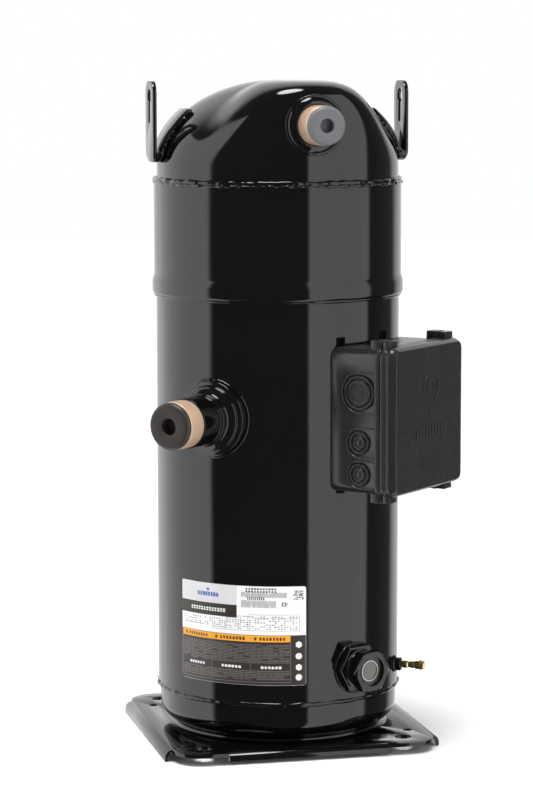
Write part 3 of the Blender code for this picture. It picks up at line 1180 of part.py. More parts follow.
def build():
    global parts, cutters
    for obj in list(bpy.data.objects):
        bpy.data.objects.remove(obj)
    parts = collection("scroll_compressor")
    cutters = collection("cutters")
    make_base_plate()
    make_bottom_cap()
    make_center_shell()
    make_upper_shell_ring()
    make_top_cap()
    make_lug("lifting_lug_right", 0.0)
    make_lug("lifting_lug_left", 180.0)
    make_discharge()
    make_suction()
    make_terminal_box()
    make_sight_glass()
    make_oil_valve()
    make_name_plate()
    make_orbiting_scroll()
    make_oldham_ring()
    make_fixed_scroll()
    make_seal_and_bolts()
    make_main_housing()
    make_crankshaft()
    make_counterweights()
    make_motor()
    make_lower_bearing()
    make_muffler_plate()
    make_check_valve()
    make_relief_valve()
    make_sump()
    make_motor_leads()
    shade_round_pieces()


build()
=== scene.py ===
"""The looks of an upright hermetic scroll compressor, built on its packed frame.

Laid out as a Blender add-on: property groups hold the sizes and colours, each operator
makes one piece or one group of like pieces, and a sidebar panel lists them.  Metres, +Z up,
the origin on the shell's axis, azimuths in degrees from the front (-Y) towards +X.
"""

import json
import math

import bmesh
import bpy
from bpy.props import FloatProperty, FloatVectorProperty, IntProperty, PointerProperty
from mathutils import Matrix, Vector


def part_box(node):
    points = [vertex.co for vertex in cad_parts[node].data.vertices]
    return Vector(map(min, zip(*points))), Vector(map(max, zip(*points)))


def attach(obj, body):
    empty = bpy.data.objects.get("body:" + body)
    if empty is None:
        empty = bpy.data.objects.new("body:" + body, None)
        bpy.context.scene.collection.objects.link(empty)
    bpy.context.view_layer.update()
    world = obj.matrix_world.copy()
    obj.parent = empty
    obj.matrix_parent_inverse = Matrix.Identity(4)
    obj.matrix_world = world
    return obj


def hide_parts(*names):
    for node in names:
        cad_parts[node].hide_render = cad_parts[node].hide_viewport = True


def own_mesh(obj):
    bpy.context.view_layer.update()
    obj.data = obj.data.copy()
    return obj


bl_info = {
    "name": "Scroll Compressor",
    "version": (1, 0, 0),
    "blender": (4, 5, 0),
    "location": "3D View > Sidebar > Compressor",
    "description": "Builds the visible pieces of a hermetic scroll compressor",
    "category": "Object",
}

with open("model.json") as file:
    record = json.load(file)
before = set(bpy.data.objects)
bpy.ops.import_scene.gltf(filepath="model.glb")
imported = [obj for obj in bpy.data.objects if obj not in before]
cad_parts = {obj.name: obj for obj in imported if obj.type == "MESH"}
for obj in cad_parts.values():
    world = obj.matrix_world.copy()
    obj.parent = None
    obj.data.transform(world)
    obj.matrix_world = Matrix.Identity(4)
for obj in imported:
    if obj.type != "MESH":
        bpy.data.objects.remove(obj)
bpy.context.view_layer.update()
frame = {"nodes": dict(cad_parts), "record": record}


def reach(node, axis):
    """The highest coordinate of a frame node along an axis."""
    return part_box(node)[1][axis]


def start(node, axis):
    """The lowest coordinate of a frame node along an axis."""
    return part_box(node)[0][axis]


GAP = 0.0003             # between pieces that touch
BOX_AZIMUTH = 45.0
SUCTION_AZIMUTH = -45.0
DISCHARGE_AZIMUTH = 4.0
GLASS_AZIMUTH, GLASS_HEIGHT = 25.5, 0.0763
VALVE_AZIMUTH, VALVE_HEIGHT = 61.0, 0.0665
HOLE_SPREAD = (0.1012, 0.1095)    # centres of the mounting holes from the axis
PILOT_SPREAD = (0.1135, 0.0823)   # centres of the pilot holes from the axis
RING_LAP = 0.023         # how far the upper ring reaches down over the tube
COPPER_WALLS = (0.0015, 0.0018)   # of the suction tube and the discharge tube
CAMERA_PLACE = (-0.6483, -2.7097, 0.6702)
CAMERA_TURN = (-13.222, 6.965, 0.088)    # yaw, downward pitch and roll, in degrees
LENS, SENSOR = 125.42, 36.0


# ---- properties -------------------------------------------------------------------------
def length(name, description, default):
    """A property that holds a length in metres."""
    return FloatProperty(name=name, description=description, default=default, min=0.0, unit="LENGTH",
                         precision=5)


def colour(name, description, default):
    """A property that holds a linear colour."""
    return FloatVectorProperty(name=name, description=description, default=default, size=3, min=0.0, max=1.0,
                               subtype="COLOR")


class ShellSizes(bpy.types.PropertyGroup):
    """Sizes of the welded shell, its cap and its plate"""
    radius: length("Shell radius", "Outside radius of the rolled shell", reach("center_shell", 0))
    bottom: length("Shell bottom", "Height of the shell's lower edge", start("center_shell", 2))
    wall: length("Wall", "Thickness of the shell", 0.0045)
    ring_radius: length("Ring radius", "Outside radius of the upper ring",
                        reach("upper_shell_ring", 0) - 0.002)
    ring_flare: length("Ring flare", "How far the ring's lower end stands out", 0.002)
    ring_bottom: length("Ring bottom", "Height of the ring's lower edge", start("upper_shell_ring", 2))
    ring_top: length("Ring top", "Height of the ring's upper edge", reach("upper_shell_ring", 2))
    cap_radius: length("Cap radius", "Outside radius of the domed cap", 0.1205)
    cap_straight: length("Cap wall", "Height of the cap's straight wall above the ring", 0.015)
    dome: length("Dome height", "Height of the dome above its wall", reach("top_cap", 2) - 0.5667)
    dome_power: FloatProperty(name="Dome power", description="Squareness of the dome's section", default=1.95)
    boss_power: FloatProperty(name="Boss power",
                              description="Squareness of the section through the discharge boss", default=9.0)
    boss_azimuth: FloatProperty(name="Boss azimuth", description="Where the boss stands, in degrees",
                                default=6.0)
    boss_spread: FloatProperty(name="Boss spread", description="Half of the boss's width, in degrees",
                               default=62.0)
    bowl_radius: length("Bowl radius", "Outside radius of the bottom bowl", 0.1193)
    bowl_fillet: length("Bowl fillet", "Radius of the bowl's lower corner", 0.018)
    sides: IntProperty(name="Sides", description="Steps round the shell", default=180, min=36)
    bead: length("Weld bead", "Half of a weld bead's width", 0.0021)
    ripple: length("Weld ripple", "Depth of the ripples in a weld", 0.0012)


class PlateSizes(bpy.types.PropertyGroup):
    """Sizes of the mounting plate"""
    width: length("Width", "Over the side lips", 2.0 * reach("base_plate", 0))
    depth: length("Depth", "Over the end lips", 2.0 * reach("base_plate", 1))
    thickness: length("Thickness", "Sheet thickness", 0.0035)
    corner: length("Corner", "Radius of the plate's corners", 0.028)
    fold: length("Fold", "Outer radius of the folded lips", 0.008)
    side_drop: length("Side drop", "How far the side lips hang", -start("base_plate", 2))
    end_drop: length("End drop", "How far the end lips hang", 0.0045)
    end_length: length("End lip", "Length of the end lips", 0.162)
    pad: length("Seat radius", "Radius of the raised seat", 0.1065)
    pad_height: length("Seat height", "Height of the raised seat", reach("base_plate", 2) - 0.0035)
    hole: length("Hole radius", "Radius of the mounting holes", 0.0083)
    pilot: length("Pilot radius", "Radius of the pilot holes", 0.0045)


class PortSizes(bpy.types.PropertyGroup):
    """Sizes of the suction and discharge ports"""
    suction_height: length("Suction height", "Height of the suction port", 0.3247)
    suction_flange: length("Suction saddle", "Radius of the saddle on the shell", 0.037)
    suction_neck: length("Suction neck", "Radius of the steel neck", 0.0243)
    suction_tube: length("Suction tube", "Outside radius of the copper", 0.0231)
    suction_reach: length("Suction reach", "Tube end from the shell's wall", 0.0710)
    discharge_height: length("Discharge height", "Height of the discharge port", 0.608)
    discharge_collar: length("Discharge collar", "Radius of the collar on the boss", 0.028)
    discharge_tube: length("Discharge tube", "Outside radius of the copper", 0.0190)
    discharge_reach: length("Discharge reach", "Tube end from the cap's wall", 0.0305)


class BoxSizes(bpy.types.PropertyGroup):
    """Sizes of the terminal box"""
    width: length("Width", "Along the shell", 0.135)
    height: length("Height", "Height of the box", 0.1404)
    bottom: length("Bottom", "Height of the box's lower side", 0.254)
    back: length("Back", "Back edge from the shell's axis", 0.094)
    rim: length("Rim", "Rim from the shell's axis", 0.1562)
    cover: length("Cover depth", "Depth of the cover", 0.0174)
    wall: length("Wall", "Moulded wall", 0.003)
    corner: length("Corner", "Radius of the upright corners", 0.008)
    band: length("Rim band", "How far the rim stands out", 0.002)


class LabelSizes(bpy.types.PropertyGroup):
    """Place of the rating label"""
    first: FloatProperty(name="First azimuth", description="Left end, in degrees", default=-64.0)
    last: FloatProperty(name="Last azimuth", description="Right end, in degrees", default=-0.5)
    bottom: length("Bottom", "Lower edge", start("name_plate", 2))
    top: length("Top", "Upper edge", reach("name_plate", 2))


class FinishColours(bpy.types.PropertyGroup):
    """Colours of the finishes"""
    paint: colour("Enamel", "Black stoved enamel", (0.0026, 0.0026, 0.0028))
    plastic: colour("Box plastic", "Black moulded plastic", (0.017, 0.017, 0.0175))
    copper: colour("Copper", "Pale brushed copper", (0.95, 0.66, 0.47))
    brass: colour("Brass", "Machined brass", (0.80, 0.62, 0.28))
    rubber: colour("Suction stopper", "Black stopper of the suction stub", (0.022, 0.016, 0.014))
    grey_rubber: colour("Discharge stopper", "Grey stopper of the discharge stub", (0.125, 0.13, 0.14))
    label: colour("Label", "White label film", (0.86, 0.86, 0.87))
    strip: colour("Label strip", "Amber strip of the label", (0.83, 0.37, 0.012))


class StudioSizes(bpy.types.PropertyGroup):
    """The stage"""
    floor_radius: length("Floor radius", "Radius of the pale floor", 8.0)
    floor: colour("Floor", "Pale floor", (0.90, 0.90, 0.90))
    overhead: FloatProperty(name="Overhead", description="Strength of the small soft box overhead",
                            default=16.0)
    top_power: FloatProperty(name="Top light", description="Power of the light above", default=45.0,
                             unit="POWER")
    soft_light: FloatProperty(name="Soft light", description="Strength of the big soft lights", default=2.0)
    shade: FloatProperty(name="Shade", description="Strength of the unlit parts of the studio", default=0.11)


# ---- mesh helpers -----------------------------------------------------------------------
def mesh_of(work, name):
    """Ends a bmesh as a mesh whose faces point outwards."""
    bmesh.ops.remove_doubles(work, verts=work.verts[:], dist=0.000002)
    bmesh.ops.recalc_face_normals(work, faces=work.faces[:])
    mesh = bpy.data.meshes.new(name)
    work.to_mesh(mesh)
    work.free()
    return mesh


def skin(name, loops, closed):
    """Quads between loops of points: closed joins the last to the first, otherwise both ends are capped."""
    work = bmesh.new()
    rows = [[work.verts.new(point) for point in loop] for loop in loops]
    pairs = list(zip(rows, rows[1:]))
    if closed:
        pairs.append((rows[-1], rows[0]))
    else:
        work.faces.new(rows[0])
        work.faces.new(rows[-1][::-1])
    count = len(rows[0])
    for upper, lower in pairs:
        for column in range(count):
            after = (column + 1) % count
            work.faces.new((upper[column], lower[column], lower[after], upper[after]))
    return mesh_of(work, name)


def lathe(name, profile, closed=True, sides=64, place=None):
    """A solid of revolution about local Z from (radius, height) points."""
    loops = []
    for radius, height in profile:
        angles = [2.0 * math.pi * side / sides for side in range(sides)]
        loops.append([Vector((radius * math.cos(angle), radius * math.sin(angle), height))
                      for angle in angles])
    mesh = skin(name, loops, closed)
    if place is not None:
        mesh.transform(place)
    return mesh


def soften(profile, radius, closed=True, steps=4):
    """Rounds the corners of a (radius, height) profile; a third number in a point is its own rounding."""
    points = [Vector(point[:2]) for point in profile]
    radii = [point[2] if len(point) > 2 else radius for point in profile]
    count = len(points)
    made = []
    for index, point in enumerate(points):
        if not closed and index in (0, count - 1):
            made.append(tuple(point))
            continue
        before, after = points[index - 1] - point, points[(index + 1) % count] - point
        room = 0.45 * min(before.length, after.length)
        cut_back = min(radii[index], room)
        if cut_back < 0.00002:
            made.append(tuple(point))
            continue
        first, last = point + before.normalized() * cut_back, point + after.normalized() * cut_back
        for step in range(steps + 1):
            share = step / steps
            made.append(tuple(first * (1 - share) ** 2 + point * 2 * share * (1 - share) + last * share ** 2))
    return made


def arc(centre, radius, first, last, steps):
    """(x, y) points of an arc, angles in degrees."""
    angles = [math.radians(first + (last - first) * step / steps) for step in range(steps + 1)]
    return [(centre[0] + radius * math.cos(a), centre[1] + radius * math.sin(a)) for a in angles]


def rounded_rectangle(width, height, corner, points=8, centre=(0.0, 0.0)):
    """(x, y) points of a rectangle with round corners."""
    outline = []
    for quarter, (sx, sy) in enumerate(((1, 1), (-1, 1), (-1, -1), (1, -1))):
        middle = (centre[0] + sx * (width / 2.0 - corner), centre[1] + sy * (height / 2.0 - corner))
        outline += arc(middle, corner, 90.0 * quarter, 90.0 * quarter + 90.0, points)
    return outline


def ring(radius, points=64, centre=(0.0, 0.0), turn=0.0):
    """(x, y) points of a circle, or of a polygon when there are few."""
    return arc(centre, radius, turn, turn + 360.0, points)[:-1]


def prism(name, outline, low, high, place=None):
    """An outline in local XY, extruded along local Z."""
    mesh = skin(name, [[Vector((x, y, height)) for x, y in outline] for height in (high, low)], False)
    if place is not None:
        mesh.transform(place)
    return mesh


def block(name, low, high, place=None, bevel=0.0006):
    """A box between two corners, with rounded edges."""
    work = bmesh.new()
    size = Vector(high) - Vector(low)
    shape = Matrix.Translation((Vector(low) + Vector(high)) / 2.0) @ Matrix.Diagonal((*size, 1.0))
    bmesh.ops.create_cube(work, size=1.0, matrix=shape)
    bmesh.ops.bevel(work, geom=work.edges[:], offset=bevel, segments=3, affect="EDGES", profile=0.5)
    mesh = mesh_of(work, name)
    if place is not None:
        mesh.transform(place)
    return mesh


def joined(name, meshes):
    """Several closed meshes in one."""
    work = bmesh.new()
    for mesh in meshes:
        work.from_mesh(mesh)
    mesh = bpy.data.meshes.new(name)
    work.to_mesh(mesh)
    work.free()
    return mesh


def evaluated(obj):
    """The object's mesh with its modifiers, as a plain mesh; the object is removed."""
    bpy.context.view_layer.update()
    graph = bpy.context.evaluated_depsgraph_get()
    mesh = bpy.data.meshes.new_from_object(obj.evaluated_get(graph))
    mesh.transform(obj.matrix_world)
    bpy.data.objects.remove(obj)
    return mesh


def linked(name, mesh):
    """A new object in the scene that holds the mesh."""
    obj = bpy.data.objects.new(name, mesh)
    bpy.context.scene.collection.objects.link(obj)
    return obj


def carved(mesh, *steps):
    """Applies Boolean steps, each (operation, tool mesh), in turn."""
    obj = linked("carving", mesh)
    tools = []
    for operation, tool in steps:
        other = linked("tool", tool)
        tools.append(other)
        boolean = obj.modifiers.new("carve", "BOOLEAN")
        boolean.operation = operation
        boolean.solver = "EXACT"
        boolean.object = other
    mesh = evaluated(obj)
    for other in tools:
        bpy.data.objects.remove(other)
    return mesh


def beveled(mesh, width, segments=2, angle=32.0):
    """Rounds every edge that is sharper than the angle."""
    obj = linked("bevel", mesh)
    bevel = obj.modifiers.new("bevel", "BEVEL")
    bevel.width = width
    bevel.segments = segments
    bevel.limit_method = "ANGLE"
    bevel.angle_limit = math.radians(angle)
    bevel.use_clamp_overlap = True
    return evaluated(obj)


def radial(azimuth, height):
    """Local Z points out from the shell's axis, local Y up, local X along the shell."""
    angle = math.radians(azimuth)
    along = Vector((math.cos(angle), math.sin(angle), 0.0))
    out = Vector((math.sin(angle), -math.cos(angle), 0.0))
    turn = Matrix((along, Vector((0.0, 0.0, 1.0)), out)).transposed()
    return Matrix.Translation((0.0, 0.0, height)) @ turn.to_4x4()


def around(azimuth):
    """A turn about the shell's axis."""
    return Matrix.Rotation(math.radians(azimuth), 4, "Z")


def place_piece(name, mesh, finish, body, slot, *nodes, angle=34.0):
    """Adds a finished mesh as a piece that rides on a body and stands for frame nodes."""
    mesh.name = name
    mesh.materials.clear()
    mesh.materials.append(finish)
    mesh.shade_smooth()
    mesh.set_sharp_from_angle(angle=math.radians(angle))
    piece = linked(name, mesh)
    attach(piece, body)
    if nodes:
        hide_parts(*nodes)
    return piece


# ---- node helpers -----------------------------------------------------------------------
def add_node(tree, kind, settings=None, **links):
    """Adds a node; settings are its properties, and each link sets or wires the input of that name."""
    node = tree.nodes.new(kind)
    for key, value in (settings or {}).items():
        setattr(node, key, value)
    for key, value in links.items():
        socket = node.inputs[int(key[1:])] if key[1:].isdigit() else node.inputs[key.replace("_", " ")]
        if isinstance(value, bpy.types.NodeSocket):
            tree.links.new(value, socket)
        else:
            socket.default_value = value
    return node


def maths(tree, operation, first, second=0.0, third=0.0):
    """The output of a Math node."""
    return add_node(tree, "ShaderNodeMath", {"operation": operation}, i0=first, i1=second,
                    i2=third).outputs[0]


def surface(name, base, roughness, metallic=0.0, spread=0.25, patch=14.0, grain=900.0, depth=0.00002,
            rough_spread=0.3, stretch=(1.0, 1.0, 1.0), turn=(0.0, 0.0, 0.0), coat=0.0):
    """A finish whose colour, roughness and bump follow noise on object coordinates.

    patch and grain are the scales of its blotches and its texture per metre, depth is the
    texture's height, and stretch draws both out along an axis, as brushing does.
    """
    made = bpy.data.materials.get(name)
    if made:
        return made
    made = bpy.data.materials.new(name)
    made.use_nodes = True
    made.diffuse_color = (*base, 1.0)
    tree = made.node_tree
    shader = tree.nodes["Principled BSDF"]
    shader.inputs["Metallic"].default_value = metallic
    shader.inputs["Specular IOR Level"].default_value = 0.5
    shader.inputs["Coat Weight"].default_value = coat
    shader.inputs["Coat Roughness"].default_value = 0.06
    where = add_node(tree, "ShaderNodeTexCoord").outputs["Object"]
    mapped = add_node(tree, "ShaderNodeMapping", Vector=where, Rotation=turn, Scale=stretch).outputs[0]
    blotch = add_node(tree, "ShaderNodeTexNoise", Vector=mapped, Scale=patch, Detail=4.0,
                      Roughness=0.6).outputs["Fac"]
    fine = add_node(tree, "ShaderNodeTexNoise", Vector=mapped, Scale=grain, Detail=3.0,
                    Roughness=0.55).outputs["Fac"]
    tint = add_node(tree, "ShaderNodeMix", {"data_type": "RGBA"}, i0=blotch,
                    i6=(*[c * (1 - spread) for c in base], 1.0),
                    i7=(*[min(c * (1 + spread), 1.0) for c in base], 1.0)).outputs[2]
    tree.links.new(tint, shader.inputs["Base Color"])
    both = maths(tree, "MULTIPLY_ADD", fine, 0.35, maths(tree, "MULTIPLY", blotch, 0.65))
    rough = add_node(tree, "ShaderNodeMapRange", i0=both, i1=0.3, i2=0.7, i3=roughness * (1 - rough_spread),
                     i4=roughness * (1 + rough_spread)).outputs[0]
    tree.links.new(rough, shader.inputs["Roughness"])
    bump = add_node(tree, "ShaderNodeBump", Strength=1.0, Distance=depth, Height=fine).outputs[0]
    tree.links.new(bump, shader.inputs["Normal"])
    return made


def colours():
    """The finish colours that the sidebar shows."""
    return bpy.context.scene.compressor_finish


def enamel():
    """Glossy black enamel with a faint orange-peel surface."""
    return surface("gloss_enamel", tuple(colours().paint), 0.065, spread=0.2, patch=9.0, grain=210.0,
                   depth=0.000012)


def weld_enamel():
    """The same enamel where it lies rough over a weld."""
    return surface("weld_enamel", tuple(colours().paint), 0.10, spread=0.4, patch=60.0, grain=700.0,
                   depth=0.00005)


def moulded():
    """Black moulded plastic with a fine grain."""
    return surface("moulded_plastic", tuple(colours().plastic), 0.27, spread=0.14, patch=22.0, grain=2600.0,
                   depth=0.000018, rough_spread=0.16)


def brushed_copper(azimuth):
    """Copper that is brushed round a tube which points at an azimuth."""
    return surface(f"brushed_copper_{'left' if azimuth < 0 else 'front'}", tuple(colours().copper), 0.33, 0.6,
                   0.06, 30.0, 900.0, 0.000005, 0.15, (0.3, 1.0, 1.0), (0.0, 0.0, math.radians(-azimuth)))


def turned_brass():
    """Machined brass."""
    return surface("turned_brass", tuple(colours().brass), 0.22, 1.0, 0.12, 120.0, 1400.0, 0.00001)


def stopper_rubber(tone, name):
    """Dull rubber in a tone."""
    return surface(f"stopper_{name}", tuple(tone), 0.46, spread=0.15, patch=70.0, grain=1500.0, depth=0.00002)


# ---- weld beads -------------------------------------------------------------------------
def group_inputs(tree, *wanted):
    """Declares a tree's inputs, each (name, kind of socket, default), and its geometry output."""
    for name, kind, default in wanted:
        socket = tree.interface.new_socket(name=name, in_out="INPUT", socket_type=f"NodeSocket{kind}")
        if default is not None:
            socket.default_value = default
    tree.interface.new_socket(name="Geometry", in_out="OUTPUT", socket_type="NodeSocketGeometry")
    return tree.nodes.new("NodeGroupInput").outputs


def close_tree(tree, geometry, finish):
    """Realizes the instances, sets the finish and ends the tree."""
    real = add_node(tree, "GeometryNodeRealizeInstances", Geometry=geometry).outputs[0]
    last = add_node(tree, "GeometryNodeSetMaterial", Geometry=real, Material=finish).outputs[0]
    tree.links.new(last, tree.nodes.new("NodeGroupOutput").inputs[0])


def grown(name, mesh, tree, values):
    """Runs a node tree on a mesh with its inputs set, and returns the plain mesh it makes."""
    obj = linked(name, mesh)
    modifier = obj.modifiers.new(name, "NODES")
    modifier.node_group = tree
    for item in tree.interface.items_tree:
        if item.in_out == "INPUT" and item.name in values:
            modifier[item.identifier] = values[item.name]
    return evaluated(obj)


def bead_tree():
    """A rippled weld bead that follows the edges of a mesh."""
    found = bpy.data.node_groups.get("weld_bead")
    if found:
        return found
    tree = bpy.data.node_groups.new("weld_bead", "GeometryNodeTree")
    given = group_inputs(tree, ("Path", "Geometry", None), ("Bead radius", "Float", 0.002),
                         ("Step", "Float", 0.0012), ("Ripple", "Float", 0.0006),
                         ("Ripple scale", "Float", 150.0), ("Seed", "Float", 1.0),
                         ("Finish", "Material", None))
    line = add_node(tree, "GeometryNodeMeshToCurve", Mesh=given["Path"]).outputs[0]
    line = add_node(tree, "GeometryNodeResampleCurve", {"mode": "LENGTH"}, Curve=line,
                    Length=given["Step"]).outputs[0]
    section = add_node(tree, "GeometryNodeCurvePrimitiveCircle", Resolution=10,
                       Radius=given["Bead radius"]).outputs[0]
    bead = add_node(tree, "GeometryNodeCurveToMesh", Curve=line, Profile_Curve=section,
                    Fill_Caps=True).outputs[0]
    at = add_node(tree, "GeometryNodeInputPosition").outputs[0]
    noise = add_node(tree, "ShaderNodeTexNoise", {"noise_dimensions": "4D"}, Vector=at, W=given["Seed"],
                     Scale=given["Ripple scale"], Detail=1.5).outputs[0]
    push = maths(tree, "MULTIPLY", maths(tree, "SUBTRACT", noise, 0.45),
                 maths(tree, "MULTIPLY", given["Ripple"], 3.0))
    normal = add_node(tree, "GeometryNodeInputNormal").outputs[0]
    offset = add_node(tree, "ShaderNodeVectorMath", {"operation": "SCALE"}, Vector=normal,
                      Scale=push).outputs[0]
    moved = add_node(tree, "GeometryNodeSetPosition", Geometry=bead, Offset=offset).outputs[0]
    close_tree(tree, moved, given["Finish"])
    return tree


def path_mesh(points, cyclic=True):
    """Points joined by edges, for a node tree to follow."""
    mesh = bpy.data.meshes.new("path")
    edges = [(i, i + 1) for i in range(len(points) - 1)]
    if cyclic:
        edges.append((len(points) - 1, 0))
    mesh.from_pydata([tuple(point) for point in points], edges, [])
    return mesh


def bead(points, radius, ripple, scale, seed, cyclic=True):
    """A rippled weld bead along a path."""
    return grown("bead", path_mesh(points, cyclic), bead_tree(),
                 {"Bead radius": radius, "Step": radius * 0.55, "Ripple": ripple, "Ripple scale": scale,
                  "Seed": seed, "Finish": weld_enamel()})


def moulding(points, radius):
    """A smooth round ridge along a path."""
    return grown("moulding", path_mesh(points, False), bead_tree(),
                 {"Bead radius": radius, "Step": radius, "Ripple": 0.0, "Finish": moulded()})


def saddle_points(azimuth, height, radius, wall, count=96):
    """Points where a round port of a radius meets a cylinder of the radius wall."""
    frame_of = radial(azimuth, height)
    points = []
    for x, y in ring(radius, count):
        points.append(frame_of @ Vector((x, y, math.sqrt(max(wall * wall - x * x, 0.0)))))
    return points


def circle_points(radius, height, count=240):
    """Points round the shell's axis at a height."""
    return [Vector((x, y, height)) for x, y in ring(radius, count)]


# ---- shell ------------------------------------------------------------------------------
def make_shell(shell):
    """The rolled tube, the lapped ring above it and the bowl below."""
    inner = shell.radius - shell.wall
    step = shell.ring_bottom + RING_LAP
    profile = [(shell.radius, step), (shell.radius, shell.bottom, 0.0012), (inner, shell.bottom),
               (inner, step)]
    tube = lathe("shell_tube", soften(profile, 0.0004), True, shell.sides)
    place_piece("shell_tube", tube, enamel(), "casing", "gloss_black_paint", "center_shell")
    out, flare = shell.ring_radius, shell.ring_flare
    lap = shell.radius + GAP
    groove = step - 0.0055
    profile = [(out, shell.ring_top, 0.0008), (out, groove + 0.0022, 0.004),
               (out + flare * 0.55, groove - 0.001, 0.0016), (out + flare * 0.78, groove - 0.0030, 0.0008),
               (out + flare, groove - 0.0046, 0.002), (out + flare, shell.ring_bottom + 0.0022, 0.0014),
               (out + flare - 0.0016, shell.ring_bottom, 0.001), (lap, shell.ring_bottom), (lap, step + GAP),
               (out - shell.wall, step + GAP), (out - shell.wall, shell.ring_top)]
    place_piece("shell_ring", lathe("shell_ring", soften(profile, 0.0003), True, shell.sides), enamel(),
                "casing", "gloss_black_paint", "upper_shell_ring", angle=50.0)
    low = start("bottom_cap", 2)
    top = shell.bottom - GAP
    fillet = shell.bowl_fillet
    corner = (shell.bowl_radius - fillet, low + fillet)
    outer = [(shell.bowl_radius, top)] + arc(corner, fillet, 0.0, -90.0, 14)
    inner_corner = arc(corner, fillet - 0.004, -90.0, 0.0, 10)
    profile = [(0.002, low + 0.004)] + inner_corner + [(shell.bowl_radius - 0.004, top)]
    bowl = lathe("shell_bowl", outer + [(0.002, low)] + profile, True, shell.sides)
    place_piece("shell_bowl", bowl, enamel(), "casing", "gloss_black_paint", "bottom_cap", angle=50.0)


def dome_point(shell, azimuth, share, inset):
    """A point of the dome: share runs from 0 at the pole to 1 at the shoulder."""
    away = abs((azimuth - shell.boss_azimuth + 180.0) % 360.0 - 180.0) / shell.boss_spread
    boss = math.cos(away * math.pi / 2.0) ** 2 if away < 1.0 else 0.0
    power = shell.dome_power * (shell.boss_power / shell.dome_power) ** boss
    angle = share * math.pi / 2.0
    radius = (shell.cap_radius - inset) * math.sin(angle) ** (2.0 / power)
    rise = (shell.dome - inset) * max(math.cos(angle), 0.0) ** (2.0 / power)
    height = shell.ring_top + shell.cap_straight + rise
    turn = math.radians(azimuth)
    return Vector((radius * math.sin(turn), -radius * math.cos(turn), height))


def make_cap(shell):
    """The domed cap, drawn out to a full-height boss where the discharge tube leaves."""
    rows = 44
    shares = [((row + 0.5) / rows) ** 0.92 for row in range(rows)] + [1.0]
    wall, inside = 0.004, shell.ring_radius - shell.wall - GAP
    columns = shell.sides
    plan = [("dome", share, 0.0) for share in shares]
    step = shell.ring_top + GAP
    plan += [("wall", shell.cap_radius, step + 0.0005), ("wall", inside, step),
             ("wall", inside, step - 0.012), ("wall", inside - wall, step - 0.012),
             ("wall", inside - wall, step + 0.002)]
    plan += [("dome", share, wall) for share in reversed(shares)]
    loops = []
    for kind, first, second in plan:
        loop = []
        for column in range(columns):
            azimuth = 360.0 * column / columns
            turn = math.radians(azimuth)
            loop.append(dome_point(shell, azimuth, first, second) if kind == "dome" else
                        Vector((first * math.sin(turn), -first * math.cos(turn), second)))
        loops.append(loop)
    cap = skin("shell_cap", loops, False)
    place_piece("shell_cap", cap, enamel(), "casing", "gloss_black_paint", "top_cap", angle=60.0)


def make_welds(shell, port):
    """Weld beads round the shell's seams and round its fittings."""
    size, ripple = shell.bead, shell.ripple
    seams = (
        (shell.cap_radius + 0.0012, shell.ring_top + 0.0004, size * 1.15, ripple * 1.25, 85.0, 3.0),
        (shell.ring_radius - 0.0002, shell.ring_top - 0.0022, size * 0.45, ripple * 1.3, 95.0, 7.0),
        (shell.radius + 0.0012, shell.ring_bottom - 0.0004, size * 0.75, ripple * 0.5, 45.0, 5.0),
        (shell.radius - 0.0014, shell.bottom - 0.0008, size * 1.15, ripple * 1.1, 70.0, 8.0),
        (0.1035, start("bottom_cap", 2) + 0.0008, size * 1.1, ripple, 60.0, 9.0),
    )
    fittings = (
        (SUCTION_AZIMUTH, port.suction_height, port.suction_flange + 0.0006, shell.radius,
         0.0016, 0.0005, 160.0, 2.0),
        (DISCHARGE_AZIMUTH, port.discharge_height, port.discharge_collar - 0.0004, shell.cap_radius,
         0.0018, 0.0006, 160.0, 4.0),
        (GLASS_AZIMUTH, GLASS_HEIGHT, 0.0243, shell.radius, 0.0013, 0.0004, 200.0, 6.0),
    )
    beads = [bead(circle_points(radius, height), *weld) for radius, height, *weld in seams]
    for azimuth, height, radius, wall, *weld in fittings:
        beads.append(bead(saddle_points(azimuth, height, radius, wall + 0.0002), *weld))
    mesh = joined("weld_beads", beads)
    place_piece("weld_beads", mesh, weld_enamel(), "casing", "gloss_black_paint", angle=80.0)


# ---- lifting lugs -----------------------------------------------------------------------
def dome_line(shell, first, last, offset, steps):
    """(radius, height) points along the plain dome, pushed out by an offset."""
    def height(radius):
        share = min(radius / shell.cap_radius, 1.0)
        rise = shell.dome * (1.0 - share ** shell.dome_power) ** (1.0 / shell.dome_power)
        return shell.ring_top + shell.cap_straight + rise

    points = []
    for step in range(steps + 1):
        radius = first + (last - first) * step / steps
        here, near = Vector((radius, height(radius))), Vector((radius - 0.0005, height(radius - 0.0005)))
        out = Vector((near.y - here.y, here.x - near.x)).normalized()
        points.append(tuple(here + out * offset))
    return points


